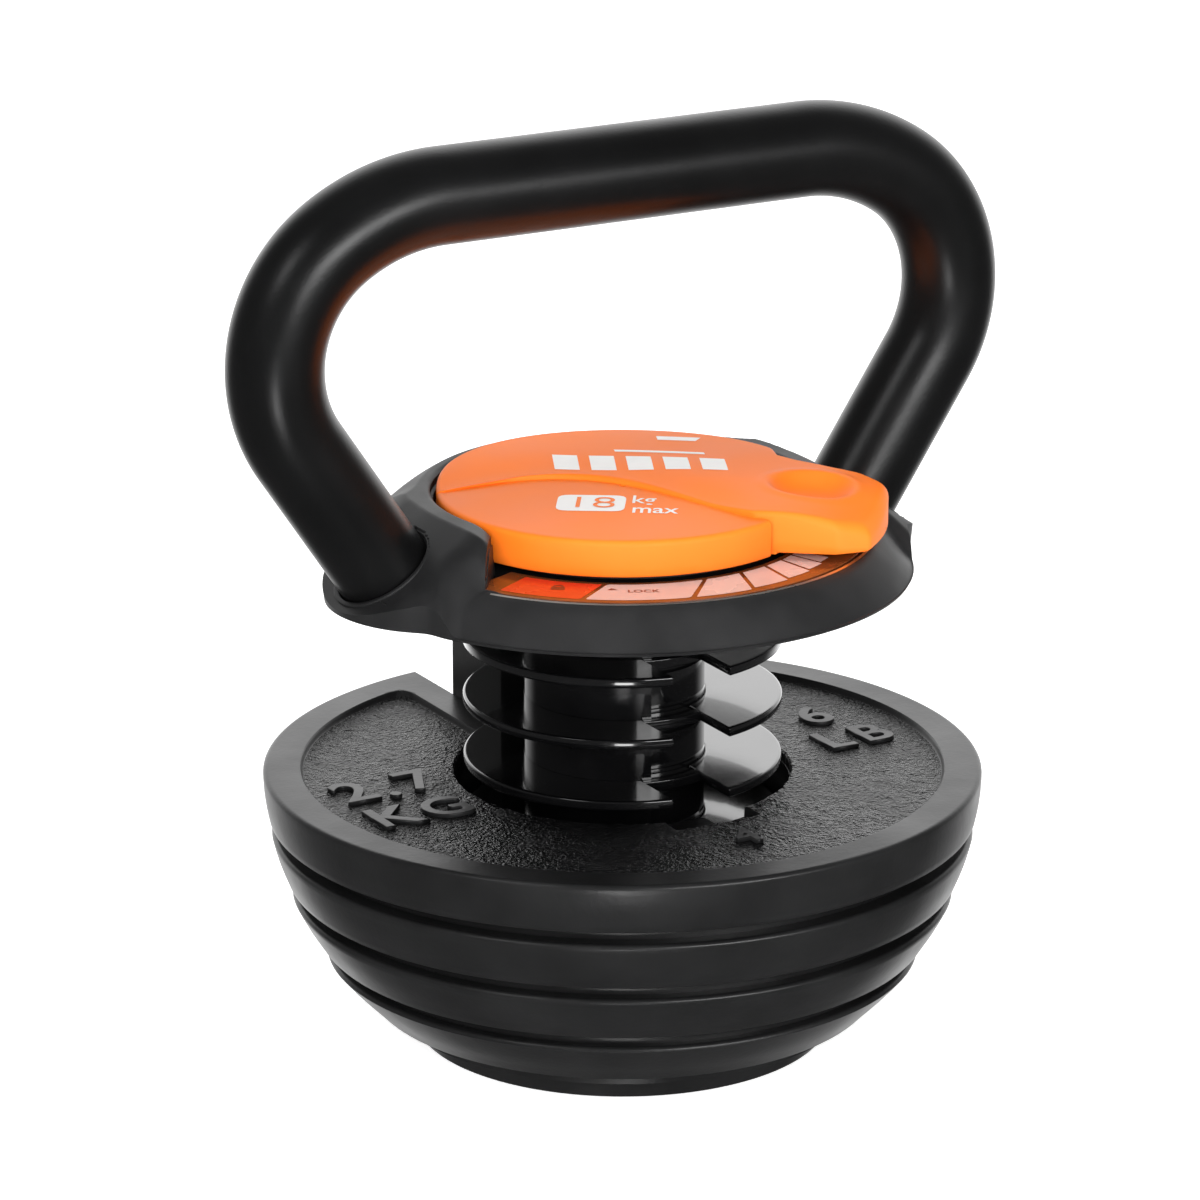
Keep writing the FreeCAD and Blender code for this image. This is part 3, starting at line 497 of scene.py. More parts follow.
@dataclass(frozen=True)
class Finish:
    """One finish: two close colours, two close roughnesses, a grain and a clear coat."""

    name: str
    low: tuple[float, float, float]
    high: tuple[float, float, float]
    rough_low: float
    rough_high: float
    patch: float = 40.0
    grain: float = 1200.0
    swell: float = 0.3
    depth: float = 0.02
    metallic: float = 0.0
    specular: float = 0.5
    coat: float = 0.0
    coat_rough: float = 0.1

    def material(self, groups: Groups) -> bpy.types.Material:
        """Build the material.

        Args:
            groups: The shared node groups.

        Returns:
            The material.
        """
        made = bpy.data.materials.new(self.name)
        made.use_nodes = True
        tree = made.node_tree
        shader = tree.nodes["Principled BSDF"]
        preset(shader, Metallic=self.metallic, Specular_IOR_Level=self.specular, Coat_Weight=self.coat,
               Coat_Roughness=self.coat_rough)
        mottle, grain = tree.nodes.new("ShaderNodeGroup"), tree.nodes.new("ShaderNodeGroup")
        mottle.node_tree, grain.node_tree = groups.mottle, groups.grain
        preset(mottle, Low_Colour=(*self.low, 1), High_Colour=(*self.high, 1), Low_Roughness=self.rough_low,
               High_Roughness=self.rough_high, Scale=self.patch)
        preset(grain, Scale=self.grain, Swell=self.swell)
        bump = tree.nodes.new("ShaderNodeBump")
        preset(bump, Distance=self.depth * MM)
        wire(tree, (grain.outputs["Height"], bump.inputs["Height"]),
             (bump.outputs["Normal"], shader.inputs["Normal"]),
             (mottle.outputs["Colour"], shader.inputs["Base Color"]),
             (mottle.outputs["Roughness"], shader.inputs["Roughness"]))
        made.diffuse_color = (*self.low, 1)
        return made


FINISHES = (
    Finish("satin_powder_coat", (0.0018, 0.0018, 0.0019), (0.003, 0.003, 0.0032),
           0.29, 0.36, 25, 900, 0.6, 0.03),
    Finish("matt_collar_plastic", (0.011, 0.011, 0.0114), (0.016, 0.016, 0.0165),
           0.46, 0.56, 60, 2600, 0.2, 0.03),
    Finish("orange_dial_plastic", (0.93, 0.188, 0.014), (0.97, 0.206, 0.019),
           0.46, 0.54, 30, 2200, 0.3, 0.015, specular=0.22),
    # The scale disc's orange-brown is a painted reflection of the orange dial on dark lacquer.
    Finish("scale_lacquer_painted_dial_reflection", (0.150, 0.040, 0.010), (0.180, 0.050, 0.014), 0.10, 0.16, 80, 800, 0.3, 0.004),
    Finish("carrier_plastic", (0.010, 0.010, 0.010), (0.016, 0.016, 0.016), 0.40, 0.50),
    Finish("plate_enamel", (0.007, 0.007, 0.0072), (0.011, 0.011, 0.0113), 0.28, 0.37, 35, 700, 1.2, 0.035),
    Finish("hammered_enamel", (0.004, 0.004, 0.0042), (0.007, 0.007, 0.0073), 0.20, 0.30, 60, 1000, 0.7, 1.1),
    Finish("spool_gloss", (0.0016, 0.0016, 0.0018), (0.003, 0.003, 0.0033), 0.12, 0.20, 50, 500, 0.8, 0.012,
           coat=0.9, coat_rough=0.06),
    Finish("keel_coat", (0.008, 0.008, 0.008), (0.014, 0.014, 0.014), 0.38, 0.50, 40, 1200, 0.5, 0.03),
    Finish("bright_steel", (0.50, 0.50, 0.50), (0.62, 0.61, 0.60),
           0.22, 0.36, 120, 1500, 0.2, 0.01, metallic=1.0),
    Finish("bush_bronze", (0.50, 0.32, 0.14), (0.60, 0.40, 0.20),
           0.30, 0.42, 90, 1500, 0.2, 0.01, metallic=1.0),
    Finish("black_rubber", (0.010, 0.010, 0.010), (0.018, 0.018, 0.018), 0.70, 0.85, 60, 1800, 0.6, 0.06),
    Finish("white_ink", (0.74, 0.72, 0.70), (0.80, 0.78, 0.76), 0.30, 0.40, 90, 1800, 0.2, 0.004),
    # Pale pink of the scale's fields: white print with a painted reflection of the orange dial.
    Finish("white_ink_painted_orange_reflection", (0.60, 0.44, 0.40), (0.66, 0.50, 0.45), 0.20, 0.30, 60, 1800, 0.2, 0.004),
    Finish("red_ink", (0.60, 0.040, 0.012), (0.68, 0.055, 0.018), 0.22, 0.30, 60, 1800, 0.2, 0.004),
    Finish("dark_ink", (0.16, 0.025, 0.012), (0.20, 0.035, 0.016), 0.30, 0.40, 60, 1800, 0.2, 0.004),
    Finish("silver_line", (0.60, 0.56, 0.52), (0.70, 0.66, 0.62),
           0.25, 0.35, 60, 1800, 0.2, 0.004, metallic=1.0),
)


class Dresser:
    """Gives pieces and CAD nodes their finish and the body they ride on."""

    def __init__(self) -> None:
        """Build every finish once."""
        groups = Groups()
        self.materials = {finish.name: finish.material(groups) for finish in FINISHES}

    def dress(self, piece: bpy.types.Object, finish: str, body: Body | str, *nodes: str) -> None:
        """Give a new piece its finish and body, and hide the CAD nodes it stands for.

        Args:
            piece: The piece.
            finish: Name of the finish.
            body: Body that it rides on, or a plate's name.
            *nodes: CAD nodes that it replaces.
        """
        piece.data.materials.clear()
        piece.data.materials.append(self.materials[finish])
        carrier = body.value if isinstance(body, Body) else body
        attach(piece, carrier)
        if nodes:
            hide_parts(*nodes)
        log.info("%s: %s, rides on %s", piece.name, finish, carrier)

    def paint_node(self, node: bpy.types.Object, finish: str) -> None:
        """Give a carried-over CAD node its finish."""
        if node.data.materials:
            for index in range(len(node.data.materials)):
                node.data.materials[index] = self.materials[finish]
        else:
            node.data.materials.append(self.materials[finish])


# ---------------------------------------------------------------- handle
@dataclass
class Handle:
    """The bent tube: straight grip, two shoulders, two bends and two straight legs."""

    radius: float = 13.55
    wall: float = 2.6
    grip_height: float = 253.1
    grip_half: float = 57.6
    shoulder_radius: float = 59.3
    shoulder_sweep: float = 33.0
    bend_radius: float = 40.5
    lean: float = 33.9
    cut: float = 140.0

    def half_path(self) -> np.ndarray:
        """Return the middle line from the top of the grip down the right leg, as x and z."""
        turn = math.radians(90 - self.shoulder_sweep)
        end = math.radians(-self.lean)
        centre = np.array([self.grip_half, self.grip_height - self.shoulder_radius])
        toward = np.array([math.cos(turn), math.sin(turn)])
        inner = centre + (self.shoulder_radius - self.bend_radius) * toward
        a = np.linspace(math.pi / 2, turn, 26)
        shoulder = centre + self.shoulder_radius * np.column_stack([np.cos(a), np.sin(a)])
        b = np.linspace(turn, end, 46)[1:]
        bend = inner + self.bend_radius * np.column_stack([np.cos(b), np.sin(b)])
        down = np.array([-math.sin(math.radians(self.lean)), -math.cos(math.radians(self.lean))])
        length = (bend[-1, 1] - self.cut) / -down[1]
        leg = bend[-1] + np.linspace(0, length, 24)[1:, None] * down
        grip = np.column_stack([np.linspace(0, self.grip_half, 30)[:-1], np.full(29, self.grip_height)])
        return np.vstack([grip, shoulder, bend, leg])

    def skin(self, path: np.ndarray, radius: float, steps: int = 96) -> np.ndarray:
        """Carry a circle along the middle line, and slide its end rings to the cut plane.

        Args:
            path: Middle line as x and z.
            radius: Radius of the circle.
            steps: Points round the circle.

        Returns:
            The grid of points.
        """
        along = np.gradient(path, axis=0)
        along /= np.linalg.norm(along, axis=1, keepdims=True)
        across = np.column_stack([-along[:, 1], along[:, 0]])
        angle = np.linspace(0, TAU, steps, endpoint=False)
        side, out = radius * np.sin(angle), radius * np.cos(angle)
        x = path[:, 0, None] + across[:, 0, None] * out
        z = path[:, 1, None] + across[:, 1, None] * out
        y = np.broadcast_to(side, x.shape)
        low = z < self.cut
        slide = np.where(low, (self.cut - z) / along[:, 1, None], 0.0)
        for row, ring in ((0, along[0]), (-1, along[-1])):
            slide[row] = (self.cut - z[row]) / ring[1]
        return np.stack([x + slide * along[:, 0, None], y, z + slide * along[:, 1, None]], -1)

    def build(self, dresser: Dresser) -> None:
        """Make the tube and dress it.

        Args:
            dresser: Gives the pieces their finish and body.
        """
        half = self.half_path()
        path = np.vstack([half[:0:-1] * (-1, 1), half])
        outer, inner = self.skin(path, self.radius), self.skin(path, self.radius - self.wall)
        tube = grid_shell(np.vstack([outer, inner[::-1]]), ring=True)
        dresser.dress(make_object("grip_tube", [tube], 50), "satin_powder_coat", Body.HANDLE, "handle_tube")


# ---------------------------------------------------------------- collar
@dataclass
class Collar:
    """The plastic collar: low rim in front, high cone behind, a boss round each tube."""

    radius: float = 82.5
    base: float = 138.4
    rim: tuple[float, float] = (72.5, 150.4)
    crown: tuple[float, float] = (57.5, 162.5)
    bore: float = 54.4
    bed: float = 70.0
    deck: float = 147.8
    floor: float = 145.2
    deck_bore: float = 25.0
    boss_centre: float = 56.0
    boss_radius: float = 35.0
    window: tuple[float, float, float, float] = (52.0, -17.8, 80.1, -59.2)
    tube_axis: tuple[float, float] = (76.5, 150.0)
    lean: float = 33.9
    wall: float = 2.4
    fillet: float = 7.0
    boss_blend: float = 2.2
    rim_blend: float = 1.5
    shoulder_drop: float = 2.4
    edge_drop: float = 0.9
    socket_radius: float = 15.0
    socket_sink: float = 5.0
    skin_least: float = 1.0

    def outer_radius(self, angle: np.ndarray) -> np.ndarray:
        """Return the plan outline: the rim circle, swelling smoothly into the circle of each boss.

        Args:
            angle: Azimuths in radians.

        Returns:
            Radii in mm.
        """
        c, s = np.abs(np.cos(angle)) * self.boss_centre, np.sin(angle) * self.boss_centre
        boss = c + np.sqrt(np.maximum(self.boss_radius ** 2 - s ** 2, 0.0))
        boss = np.where(np.abs(s) < self.boss_radius, boss, 0.0)
        return self.radius + np.logaddexp(0.0, (boss - self.radius) / 0.9) * 0.9 - 0.9 * math.log(2) * np.exp(
            -((boss - self.radius) / 3.0) ** 2)

    def cone(self, r: np.ndarray) -> np.ndarray:
        """Return the cone's height: a shallow parabola through crown, rim and lower edge."""
        (r0, z0), (r1, z1), (r2, z2) = self.crown, self.rim, (self.radius, self.base)
        return (z0 * (r - r1) * (r - r2) / ((r0 - r1) * (r0 - r2))
                + z1 * (r - r0) * (r - r2) / ((r1 - r0) * (r1 - r2))
                + z2 * (r - r0) * (r - r1) / ((r2 - r0) * (r2 - r1)))

    def window_distance(self, x: np.ndarray, y: np.ndarray) -> np.ndarray:
        """Return how far a point lies inside the front window, negative outside it.

        Args:
            x: First coordinate in mm.
            y: Second coordinate in mm.

        Returns:
            Distances in mm.
        """
        x0, y0, x1, y1 = self.window
        length = math.hypot(x1 - x0, y1 - y0)
        return ((np.abs(x) - x0) * (y1 - y0) - (y - y0) * (x1 - x0)) / length

    def height(self, x: np.ndarray, y: np.ndarray) -> np.ndarray:
        """Return the collar's upper surface.

        The cone and the boss's sloping top are joined by a soft maximum. In the window the surface
        drops to the rim, with a hollow fillet at the foot of each side.

        Args:
            x: First coordinate in mm.
            y: Second coordinate in mm.

        Returns:
            Heights in mm.
        """
        r = np.hypot(x, y)
        cone = self.cone(np.maximum(r, self.crown[0])) - 0.08 * np.maximum(r - self.radius, 0) ** 2
        plane = self.crown[1] - (np.abs(x) - self.crown[0]) * math.tan(math.radians(self.lean))
        boss = np.minimum(plane, self.crown[1]) - 0.022 * np.maximum(np.abs(y) - 17.0, 0.0) ** 2
        d = self.window_distance(x, y)
        boss = boss - 0.18 * np.maximum(d + 13.0, 0.0) ** 2 * smooth(66.0, 79.0, r)
        top = self.boss_blend * np.logaddexp(cone / self.boss_blend, boss / self.boss_blend)
        top = np.minimum(top, self.crown[1])
        low = -self.rim_blend * np.logaddexp(-self.rim[1] / self.rim_blend, -self.cone(r) / self.rim_blend)
        low = low - self.edge_drop * np.clip(1.0 - (r - self.bed) / 1.0, 0, 1) ** 2
        foot = np.clip(self.fillet - d, 0, self.fillet)
        hollow = low + self.fillet - np.sqrt(np.maximum(self.fillet ** 2 - foot ** 2, 0.0))
        crest = top - self.shoulder_drop * (1.0 - np.clip(-d / 8.0, 0, 1)) ** 3
        result = np.maximum(np.where(d > 0.0, np.minimum(hollow, crest), crest), low)
        edge = np.clip(1.0 - (r - self.bore) / 1.2, 0, 1)
        result = result - np.where(d > 0.0, 0.0, self.edge_drop * edge ** 2)
        return np.maximum(result, self.base + self.edge_drop)

    def socket_depth(self, x: np.ndarray, z: np.ndarray, y: np.ndarray) -> np.ndarray:
        """Return the distance of a point from the leg's axis.

        Args:
            x: First coordinate in mm.
            z: Height in mm.
            y: Second coordinate in mm.

        Returns:
            Distances in mm.
        """
        s, c = math.sin(math.radians(self.lean)), math.cos(math.radians(self.lean))
        across = (np.abs(x) - self.tube_axis[0]) * c - (z - self.tube_axis[1]) * s
        return np.hypot(across, y)

    def azimuths(self, radii: np.ndarray) -> np.ndarray:
        """Return lines round the ring that follow the window's sides.

        Args:
            radii: Radii with one row per line and one column per radius, or a single row.

        Returns:
            Azimuths, one row per line.
        """
        x0, y0, x1, y1 = self.window
        length = math.hypot(x1 - x0, y1 - y0)
        nx, ny = (y1 - y0) / length, -(x1 - x0) / length
        far = x0 * nx + y0 * ny
        offsets = np.array([7.0, 6.0, 5.0, 4.0, 3.2, 2.4, 1.8, 1.2, 0.7, 0.3, 0.05,
                            -0.05, -0.25, -0.5, -0.8, -1.2, -2.0])
        tilt = math.atan2(ny, nx)
        side = tilt + np.arccos(np.clip((far + offsets[:, None]) / radii, -1, 1))
        front = np.linspace(0, 1, 300)[1:-1, None]
        mirror = -math.pi - side[::-1]
        low, high = mirror[-1], side[0]
        rear = np.linspace(0, 1, 440)[1:-1, None]
        return np.vstack([mirror, low * (1 - front) + high * front, side,
                          side[-1] * (1 - rear) + (mirror[0] + TAU) * rear])

    def build(self, dresser: Dresser) -> None:
        """Make the collar as one closed ring, with a lip ring round each tube, and dress them.

        Args:
            dresser: Gives the pieces their finish and body.
        """
        share = np.concatenate([np.linspace(0, 0.06, 5)[:-1], np.linspace(0.06, 1, 64)])
        reference = np.concatenate([self.radius + share * (self.bed - self.radius),
                                    np.linspace(self.bed, self.bore, 26)[1:]])
        line = self.azimuths(reference[None, :])
        reach = self.outer_radius(line)
        outer = share * self.bed + (1 - share) * reach[:, :len(share)]
        rest = reference[len(share):]
        r = np.hstack([outer, np.broadcast_to(rest, (len(line), len(rest)))])
        x, y = r * np.cos(line), r * np.sin(line)
        d = self.window_distance(x, y)
        z = self.height(x, y)
        in_window = (d > 0) & (r < self.bed + 0.01)
        z = np.where(in_window, np.minimum(z, np.where(d > 0.3, self.deck, z)), z)
        sunk = self.socket_depth(x, z, y) < self.socket_radius
        z = np.where(sunk, np.maximum(z - self.socket_sink, self.base + 1.2), z)
        inner_r = np.array([self.bore, self.bore, 45.0, self.deck_bore, self.deck_bore, 45.0, self.bore])
        inner_z = np.array([self.deck + 0.6] + 3 * [self.deck] + 3 * [self.floor])
        edge = line[:, -1:]
        inner = revolve(np.column_stack([inner_r, inner_z]), edge)
        back = slice(None, None, -3)
        hollow = np.maximum(np.minimum(z[:, back] - self.wall, 160.0), self.floor)
        hollow = np.minimum(hollow, z[:, back] - self.skin_least)
        under = np.stack([x[:, back] * 0.985, y[:, back] * 0.985, hollow], -1)
        lip_r = np.stack([reach[:, 0] - 2.4, reach[:, 0] - 2.4, reach[:, 0] - 0.5], 1)
        lip_z = np.broadcast_to([self.base + 1.8, self.base, self.base], lip_r.shape)
        first = line[:, :1]
        lip = np.stack([lip_r * np.cos(first), lip_r * np.sin(first), lip_z], -1)
        grid = np.concatenate([lip[:, 2:], np.stack([x, y, z], -1), inner, under[:, :-1], lip[:, :2]], 1)
        moulding = make_object("collar_moulding", [grid_shell(grid, ring=True)], 38)
        dresser.dress(moulding, "matt_collar_plastic", Body.HANDLE, "collar_shell")
        self.build_lips(dresser)

    def build_lips(self, dresser: Dresser) -> None:
        """Make the round socket lip that lies on each boss's sloping top.

        Args:
            dresser: Gives the pieces their finish and body.
        """
        s, c = math.sin(math.radians(self.lean)), math.cos(math.radians(self.lean))
        path = rounded(np.array([(14.15, -6.0), (15.7, -6.0), (15.7, 0.12), (14.15, 0.12)]), 0.5)
        angle = np.linspace(0, TAU, 120, endpoint=False)[:, None]
        across, side = path[:, 0] * np.cos(angle), path[:, 0] * np.sin(angle)
        along = np.broadcast_to(path[:, 1], across.shape)
        for sign, name in ((1, "right_socket_lip"), (-1, "left_socket_lip")):
            x = self.tube_axis[0] + across * c + along * s
            z = self.tube_axis[1] + 0.35 - across * s + along * c
            grid = np.stack([sign * x, side, z], -1)
            lip = make_object(name, [grid_shell(grid, ring=True)], 50)
            dresser.dress(lip, "matt_collar_plastic", Body.HANDLE)


# ---------------------------------------------------------------- scale
@dataclass
class Scale:
    """The printed scale in the front window: fields, a padlock, a word and a bright edge."""

    base: float = 147.9
    top: float = 149.9
    rise: float = 0.08
    outer: float = 67.6
    inner: float = 53.6

    def field_outline(self, start: tuple[float, float], end: tuple[float, float], reach: float, corner: float
                      ) -> np.ndarray:
        """Return a rounded field between two slanted ends.

        Args:
            start: Azimuth of the first end at the inner and at the outer edge, in degrees.
            end: Azimuth of the other end at the inner and at the outer edge.
            reach: Radius of the outer edge.
            corner: Rounding of the corners in mm.

        Returns:
            Outline points as x and y.
        """
        t = np.linspace(0, 1, 12)
        outer_edge = np.column_stack([np.full(12, reach), start[1] + t * (end[1] - start[1])])
        inner_edge = np.column_stack([np.full(12, self.inner), end[0] + t * (start[0] - end[0])])
        polar = np.vstack([outer_edge, inner_edge])
        angle = np.radians(polar[:, 1])
        xy = polar[:, :1] * np.column_stack([np.cos(angle), np.sin(angle)])
        return rounded(xy, corner)

    def build(self, dresser: Dresser) -> None:
        """Make every printed field and dress it.

        Args:
            dresser: Gives the pieces their finish and body.
        """
        height = self.top + self.rise
        self.build_disc(dresser)
        # The pale fields are white print tinted by a painted reflection of the orange dial.
        fields = (("red_field", (-149.5, -149.5), (-125.6, -129.6), self.outer, "red_ink"),
                  ("word_field", (-124.2, -128.4), (-95.4, -103.8), self.outer, "white_ink_painted_orange_reflection"),
                  ("first_field", (-94.0, -102.4), (-83.0, -88.2), self.outer, "white_ink_painted_orange_reflection"),
                  ("second_field", (-81.6, -86.8), (-72.8, -76.8), 66.6, "white_ink_painted_orange_reflection"),
                  ("third_field", (-71.6, -75.6), (-64.8, -67.8), 65.6, "white_ink_painted_orange_reflection"),
                  ("fourth_field", (-63.8, -66.8), (-58.8, -61.0), 64.6, "white_ink_painted_orange_reflection"),
                  ("fifth_field", (-58.0, -60.2), (-54.0, -55.6), 63.6, "white_ink_painted_orange_reflection"))
        for name, start, end, reach, ink in fields:
            outline = self.field_outline(start, end, reach, 1.6)
            dresser.dress(make_object(name, [flat_shape(outline, height)]), ink, Body.HANDLE)
        angle = np.radians(np.linspace(-150, -36, 90))[:, None]
        radius = np.array([71.1, 71.8])
        x, y = radius * np.cos(angle), radius * np.sin(angle)
        arc = np.stack([x, y, Collar().height(x, y) + self.rise], -1)
        line = grid_shell(arc, loop=False)
        dresser.dress(make_object("scale_edge_line", [line]), "silver_line", Body.HANDLE)
        self.build_padlock(dresser, height + 0.06)
        word = lettering("turn_word", "LOCK", 3.3, 0.0, 0.05, (-24.6, -54.6, height + 0.06), -27.0)
        dresser.dress(word, "dark_ink", Body.HANDLE)
        spot = np.array([(-32.8, -48.9), (-30.2, -50.2), (-30.9, -48.0)])
        dresser.dress(make_object("turn_arrow", [flat_shape(spot, height + 0.06)]), "dark_ink", Body.HANDLE)

    def build_disc(self, dresser: Dresser) -> None:
        """Make the lacquered disc below the prints, a flat ring that fills the window's floor; its
        orange-brown colour is a painted reflection of the orange dial on dark lacquer.

        Args:
            dresser: Gives the pieces their finish and body.
        """
        profile = rounded(oblong(51.5, self.base, 69.7, self.top), 0.25)
        angle = np.radians(np.linspace(-156, -26, 180))[:, None]
        disc = make_object("scale_disc", [grid_shell(revolve(profile, angle), caps=True)], 50)
        dresser.dress(disc, "scale_lacquer_painted_dial_reflection", Body.HANDLE, "scale_ring")

    def build_padlock(self, dresser: Dresser, height: float) -> None:
        """Make the small padlock: a rounded body and a bent shackle.

        Args:
            dresser: Gives the pieces their finish and body.
            height: Height in mm.
        """
        body = rounded(oblong(-1.9, -1.6, 1.9, 1.2), 0.4)
        t = np.linspace(0, math.pi, 14)
        shackle = np.vstack([np.column_stack([1.5 * np.cos(t), 1.2 + 1.7 * np.sin(t)]),
                             np.column_stack([-0.9 * np.cos(t), 1.2 + 1.0 * np.sin(t)])])
        turn = math.radians(-35.0)
        spin = np.array([(math.cos(turn), math.sin(turn)), (-math.sin(turn), math.cos(turn))])
        shells = [flat_shape(shape @ spin + (-43.5, -40.6), height) for shape in (body, shackle)]
        dresser.dress(make_object("padlock_mark", shells), "dark_ink", Body.HANDLE)


# ---------------------------------------------------------------- dial
@dataclass
class Dial:
    """The orange dial: a drum, and a raised band that runs out into the lever."""

    radius: float = 52.7
    base: float = 151.5
    face: float = 162.0
    azimuth: float = -37.3
    near: float = 25.3
    tip: float = 75.0
    floor: float = 152.2
    crest: float = 165.8
    step: float = 39.5
    drum_end: float = 45.2
    dimple: tuple[float, float] = (53.5, -0.5)
    dimple_size: tuple[float, float] = (12.5, 11.5)
    dimple_depth: float = 4.2
    print_turn: float = -33.0

    def to_world(self, u: np.ndarray, v: np.ndarray) -> tuple[np.ndarray, np.ndarray]:
        """Turn places along the lever (u) and towards its leading side (v) into x and y."""
        a = math.radians(self.azimuth)
        return u * math.cos(a) + v * math.sin(a), u * math.sin(a) - v * math.cos(a)

    def front_curve(self, u: np.ndarray) -> np.ndarray:
        """Return the raised band's front edge: a smooth dip left of the middle.

        Args:
            u: Places along the lever, in mm.

        Returns:
            Places of the edge towards the lever's leading side, in mm.
        """
        known_u = np.array([-60.0, -47.0, -33.0, -18.5, -4.0, 10.0, 23.7, 33.0, 39.7])
        known_v = np.array([21.5, 10.0, 0.4, -4.4, -2.6, 5.0, 14.6, 20.6, 25.2])
        shape = np.polynomial.Polynomial.fit(known_u, known_v, 4)
        return np.where(u > self.step, self.near, np.minimum(shape(u), self.near))

    def face_height(self, x: np.ndarray, y: np.ndarray) -> np.ndarray:
        """Return the drum's gently domed face."""
        return self.face + 0.5 * (1 - (np.hypot(x, y) / self.radius) ** 2)

    def band_height(self, u: np.ndarray, v: np.ndarray) -> np.ndarray:
        """Return the band's top: a low dome, lower along its front edge, with a thumb dimple.

        Args:
            u: Places along the lever.
            v: Places towards its leading side.

        Returns:
            Heights in mm.
        """
        dome = self.crest - 0.0010 * (v + 14) ** 2 - 0.00026 * (u - 12) ** 2
        reach = np.clip((u - 46.0) / 29.0, 0, 1)
        dome = dome - reach ** 2 * (1.2 + 5.0 * smooth(-8.0, 26.0, v))
        edge = self.front_curve(u.ravel()).reshape(u.shape) - v
        sag = 1.7 * np.exp(-(np.maximum(edge, 0) / 13.0) ** 2) * (1 - smooth(24, 44, u))
        (u0, v0), (length, width) = self.dimple, self.dimple_size
        oval = ((u - u0) / length) ** 2 + ((v - v0) / width) ** 2
        dimple = self.dimple_depth * (1 - smooth(0.0, 1.0, oval)) ** 0.8
        ridge = 0.35 * np.exp(-((np.sqrt(oval) - 1.08) / 0.14) ** 2)
        return dome - sag - dimple + ridge

    def drum(self) -> Shell:
        """Return the drum as rings from its lower middle round the wall to its upper middle.

        Beside the lever the wall steps in to a flat that runs parallel to the lever's side, and
        under the lever's dimple the top is lowered out of its way.
        """
        angle = np.radians(np.arange(0, 360, 0.5))
        swing = math.radians(self.azimuth) - angle
        past = (self.radius * np.cos(swing) > self.drum_end) & (self.radius * np.sin(swing) > 0)
        reach = np.where(past, (self.near - 0.4) / np.maximum(np.sin(swing), 0.1), self.radius)
        reach = np.minimum(reach, self.radius)
        arc = np.linspace(0, math.pi / 2, 8)
        inset = np.concatenate([[51.7, 30.0, 1.1], 0.9 * (1 - np.sin(arc[::2])), [0.0, 0.0, 0.0],
                                1.5 * (1 - np.cos(arc))[1:], [2.4, 4, 7, 12, 20, 30, 42, 51.7]])
        rise = np.concatenate([[0.0, 0.0, 0.0], 0.9 * (1 - np.cos(arc[::2])), [3.0, 6.0, 8.6],
                               9.0 + 1.5 * np.sin(arc)[1:], np.full(8, 10.5)])
        share = np.where(inset > 6, reach[:, None] / self.radius, 1.0)
        r = np.maximum(reach[:, None] - inset * share, 0.02)
        x, y = r * np.cos(angle)[:, None], r * np.sin(angle)[:, None]
        z = self.base + rise + 0.5 * (1 - (r / self.radius) ** 2) * (rise > 9)
        under = (r * np.cos(swing)[:, None] > 38.0) & (np.abs(r * np.sin(swing)[:, None]) < 14.0)
        z = np.where(under, np.minimum(z, self.base + 6.5), z)
        return grid_shell(np.stack([x, y, z], -1), ring=True)

    def band_edge(self) -> np.ndarray:
        """Return the outline of the band and lever: front curve, lever side, nose, rear side, drum."""
        left = np.linspace(-51.6, self.step + 1, 170)
        front = np.column_stack([left, self.front_curve(left)])
        front = front[np.hypot(front[:, 0], front[:, 1]) < self.radius - 0.3]
        corner = math.sqrt(self.tip ** 2 - self.near ** 2)
        side = np.column_stack([np.linspace(self.step + 1.5, corner - 7, 40), np.full(40, self.near)])
        a = np.linspace(math.asin(self.near / self.tip), math.asin(-10.2 / self.tip), 60)
        nose = self.tip * np.column_stack([np.cos(a), np.sin(a)])
        far = np.array([(68.5, -14.5), (60.0, -17.5), (48.0, -22.6), (41.5, -27.5)])
        b = np.linspace(math.atan2(-35.0, 38.7), math.atan2(front[0, 1], front[0, 0]) - TAU, 240)[:-1]
        drum = (self.radius + 0.02) * np.column_stack([np.cos(b), np.sin(b)])
        raw = np.vstack([front, side, nose[8:-3], far, drum, front[:1]])
        length = np.concatenate([[0], np.cumsum(np.linalg.norm(np.diff(raw, axis=0), axis=1))])
        even = np.linspace(0, length[-1], 901)[:-1]
        edge = np.column_stack([np.interp(even, length, raw[:, k]) for k in (0, 1)])
        kernel = np.exp(-(np.arange(-6, 7) / 3.0) ** 2)
        kernel /= kernel.sum()
        padded = np.vstack([edge[-6:], edge, edge[:6]])
        return np.column_stack([np.convolve(padded[:, k], kernel, "valid") for k in (0, 1)])

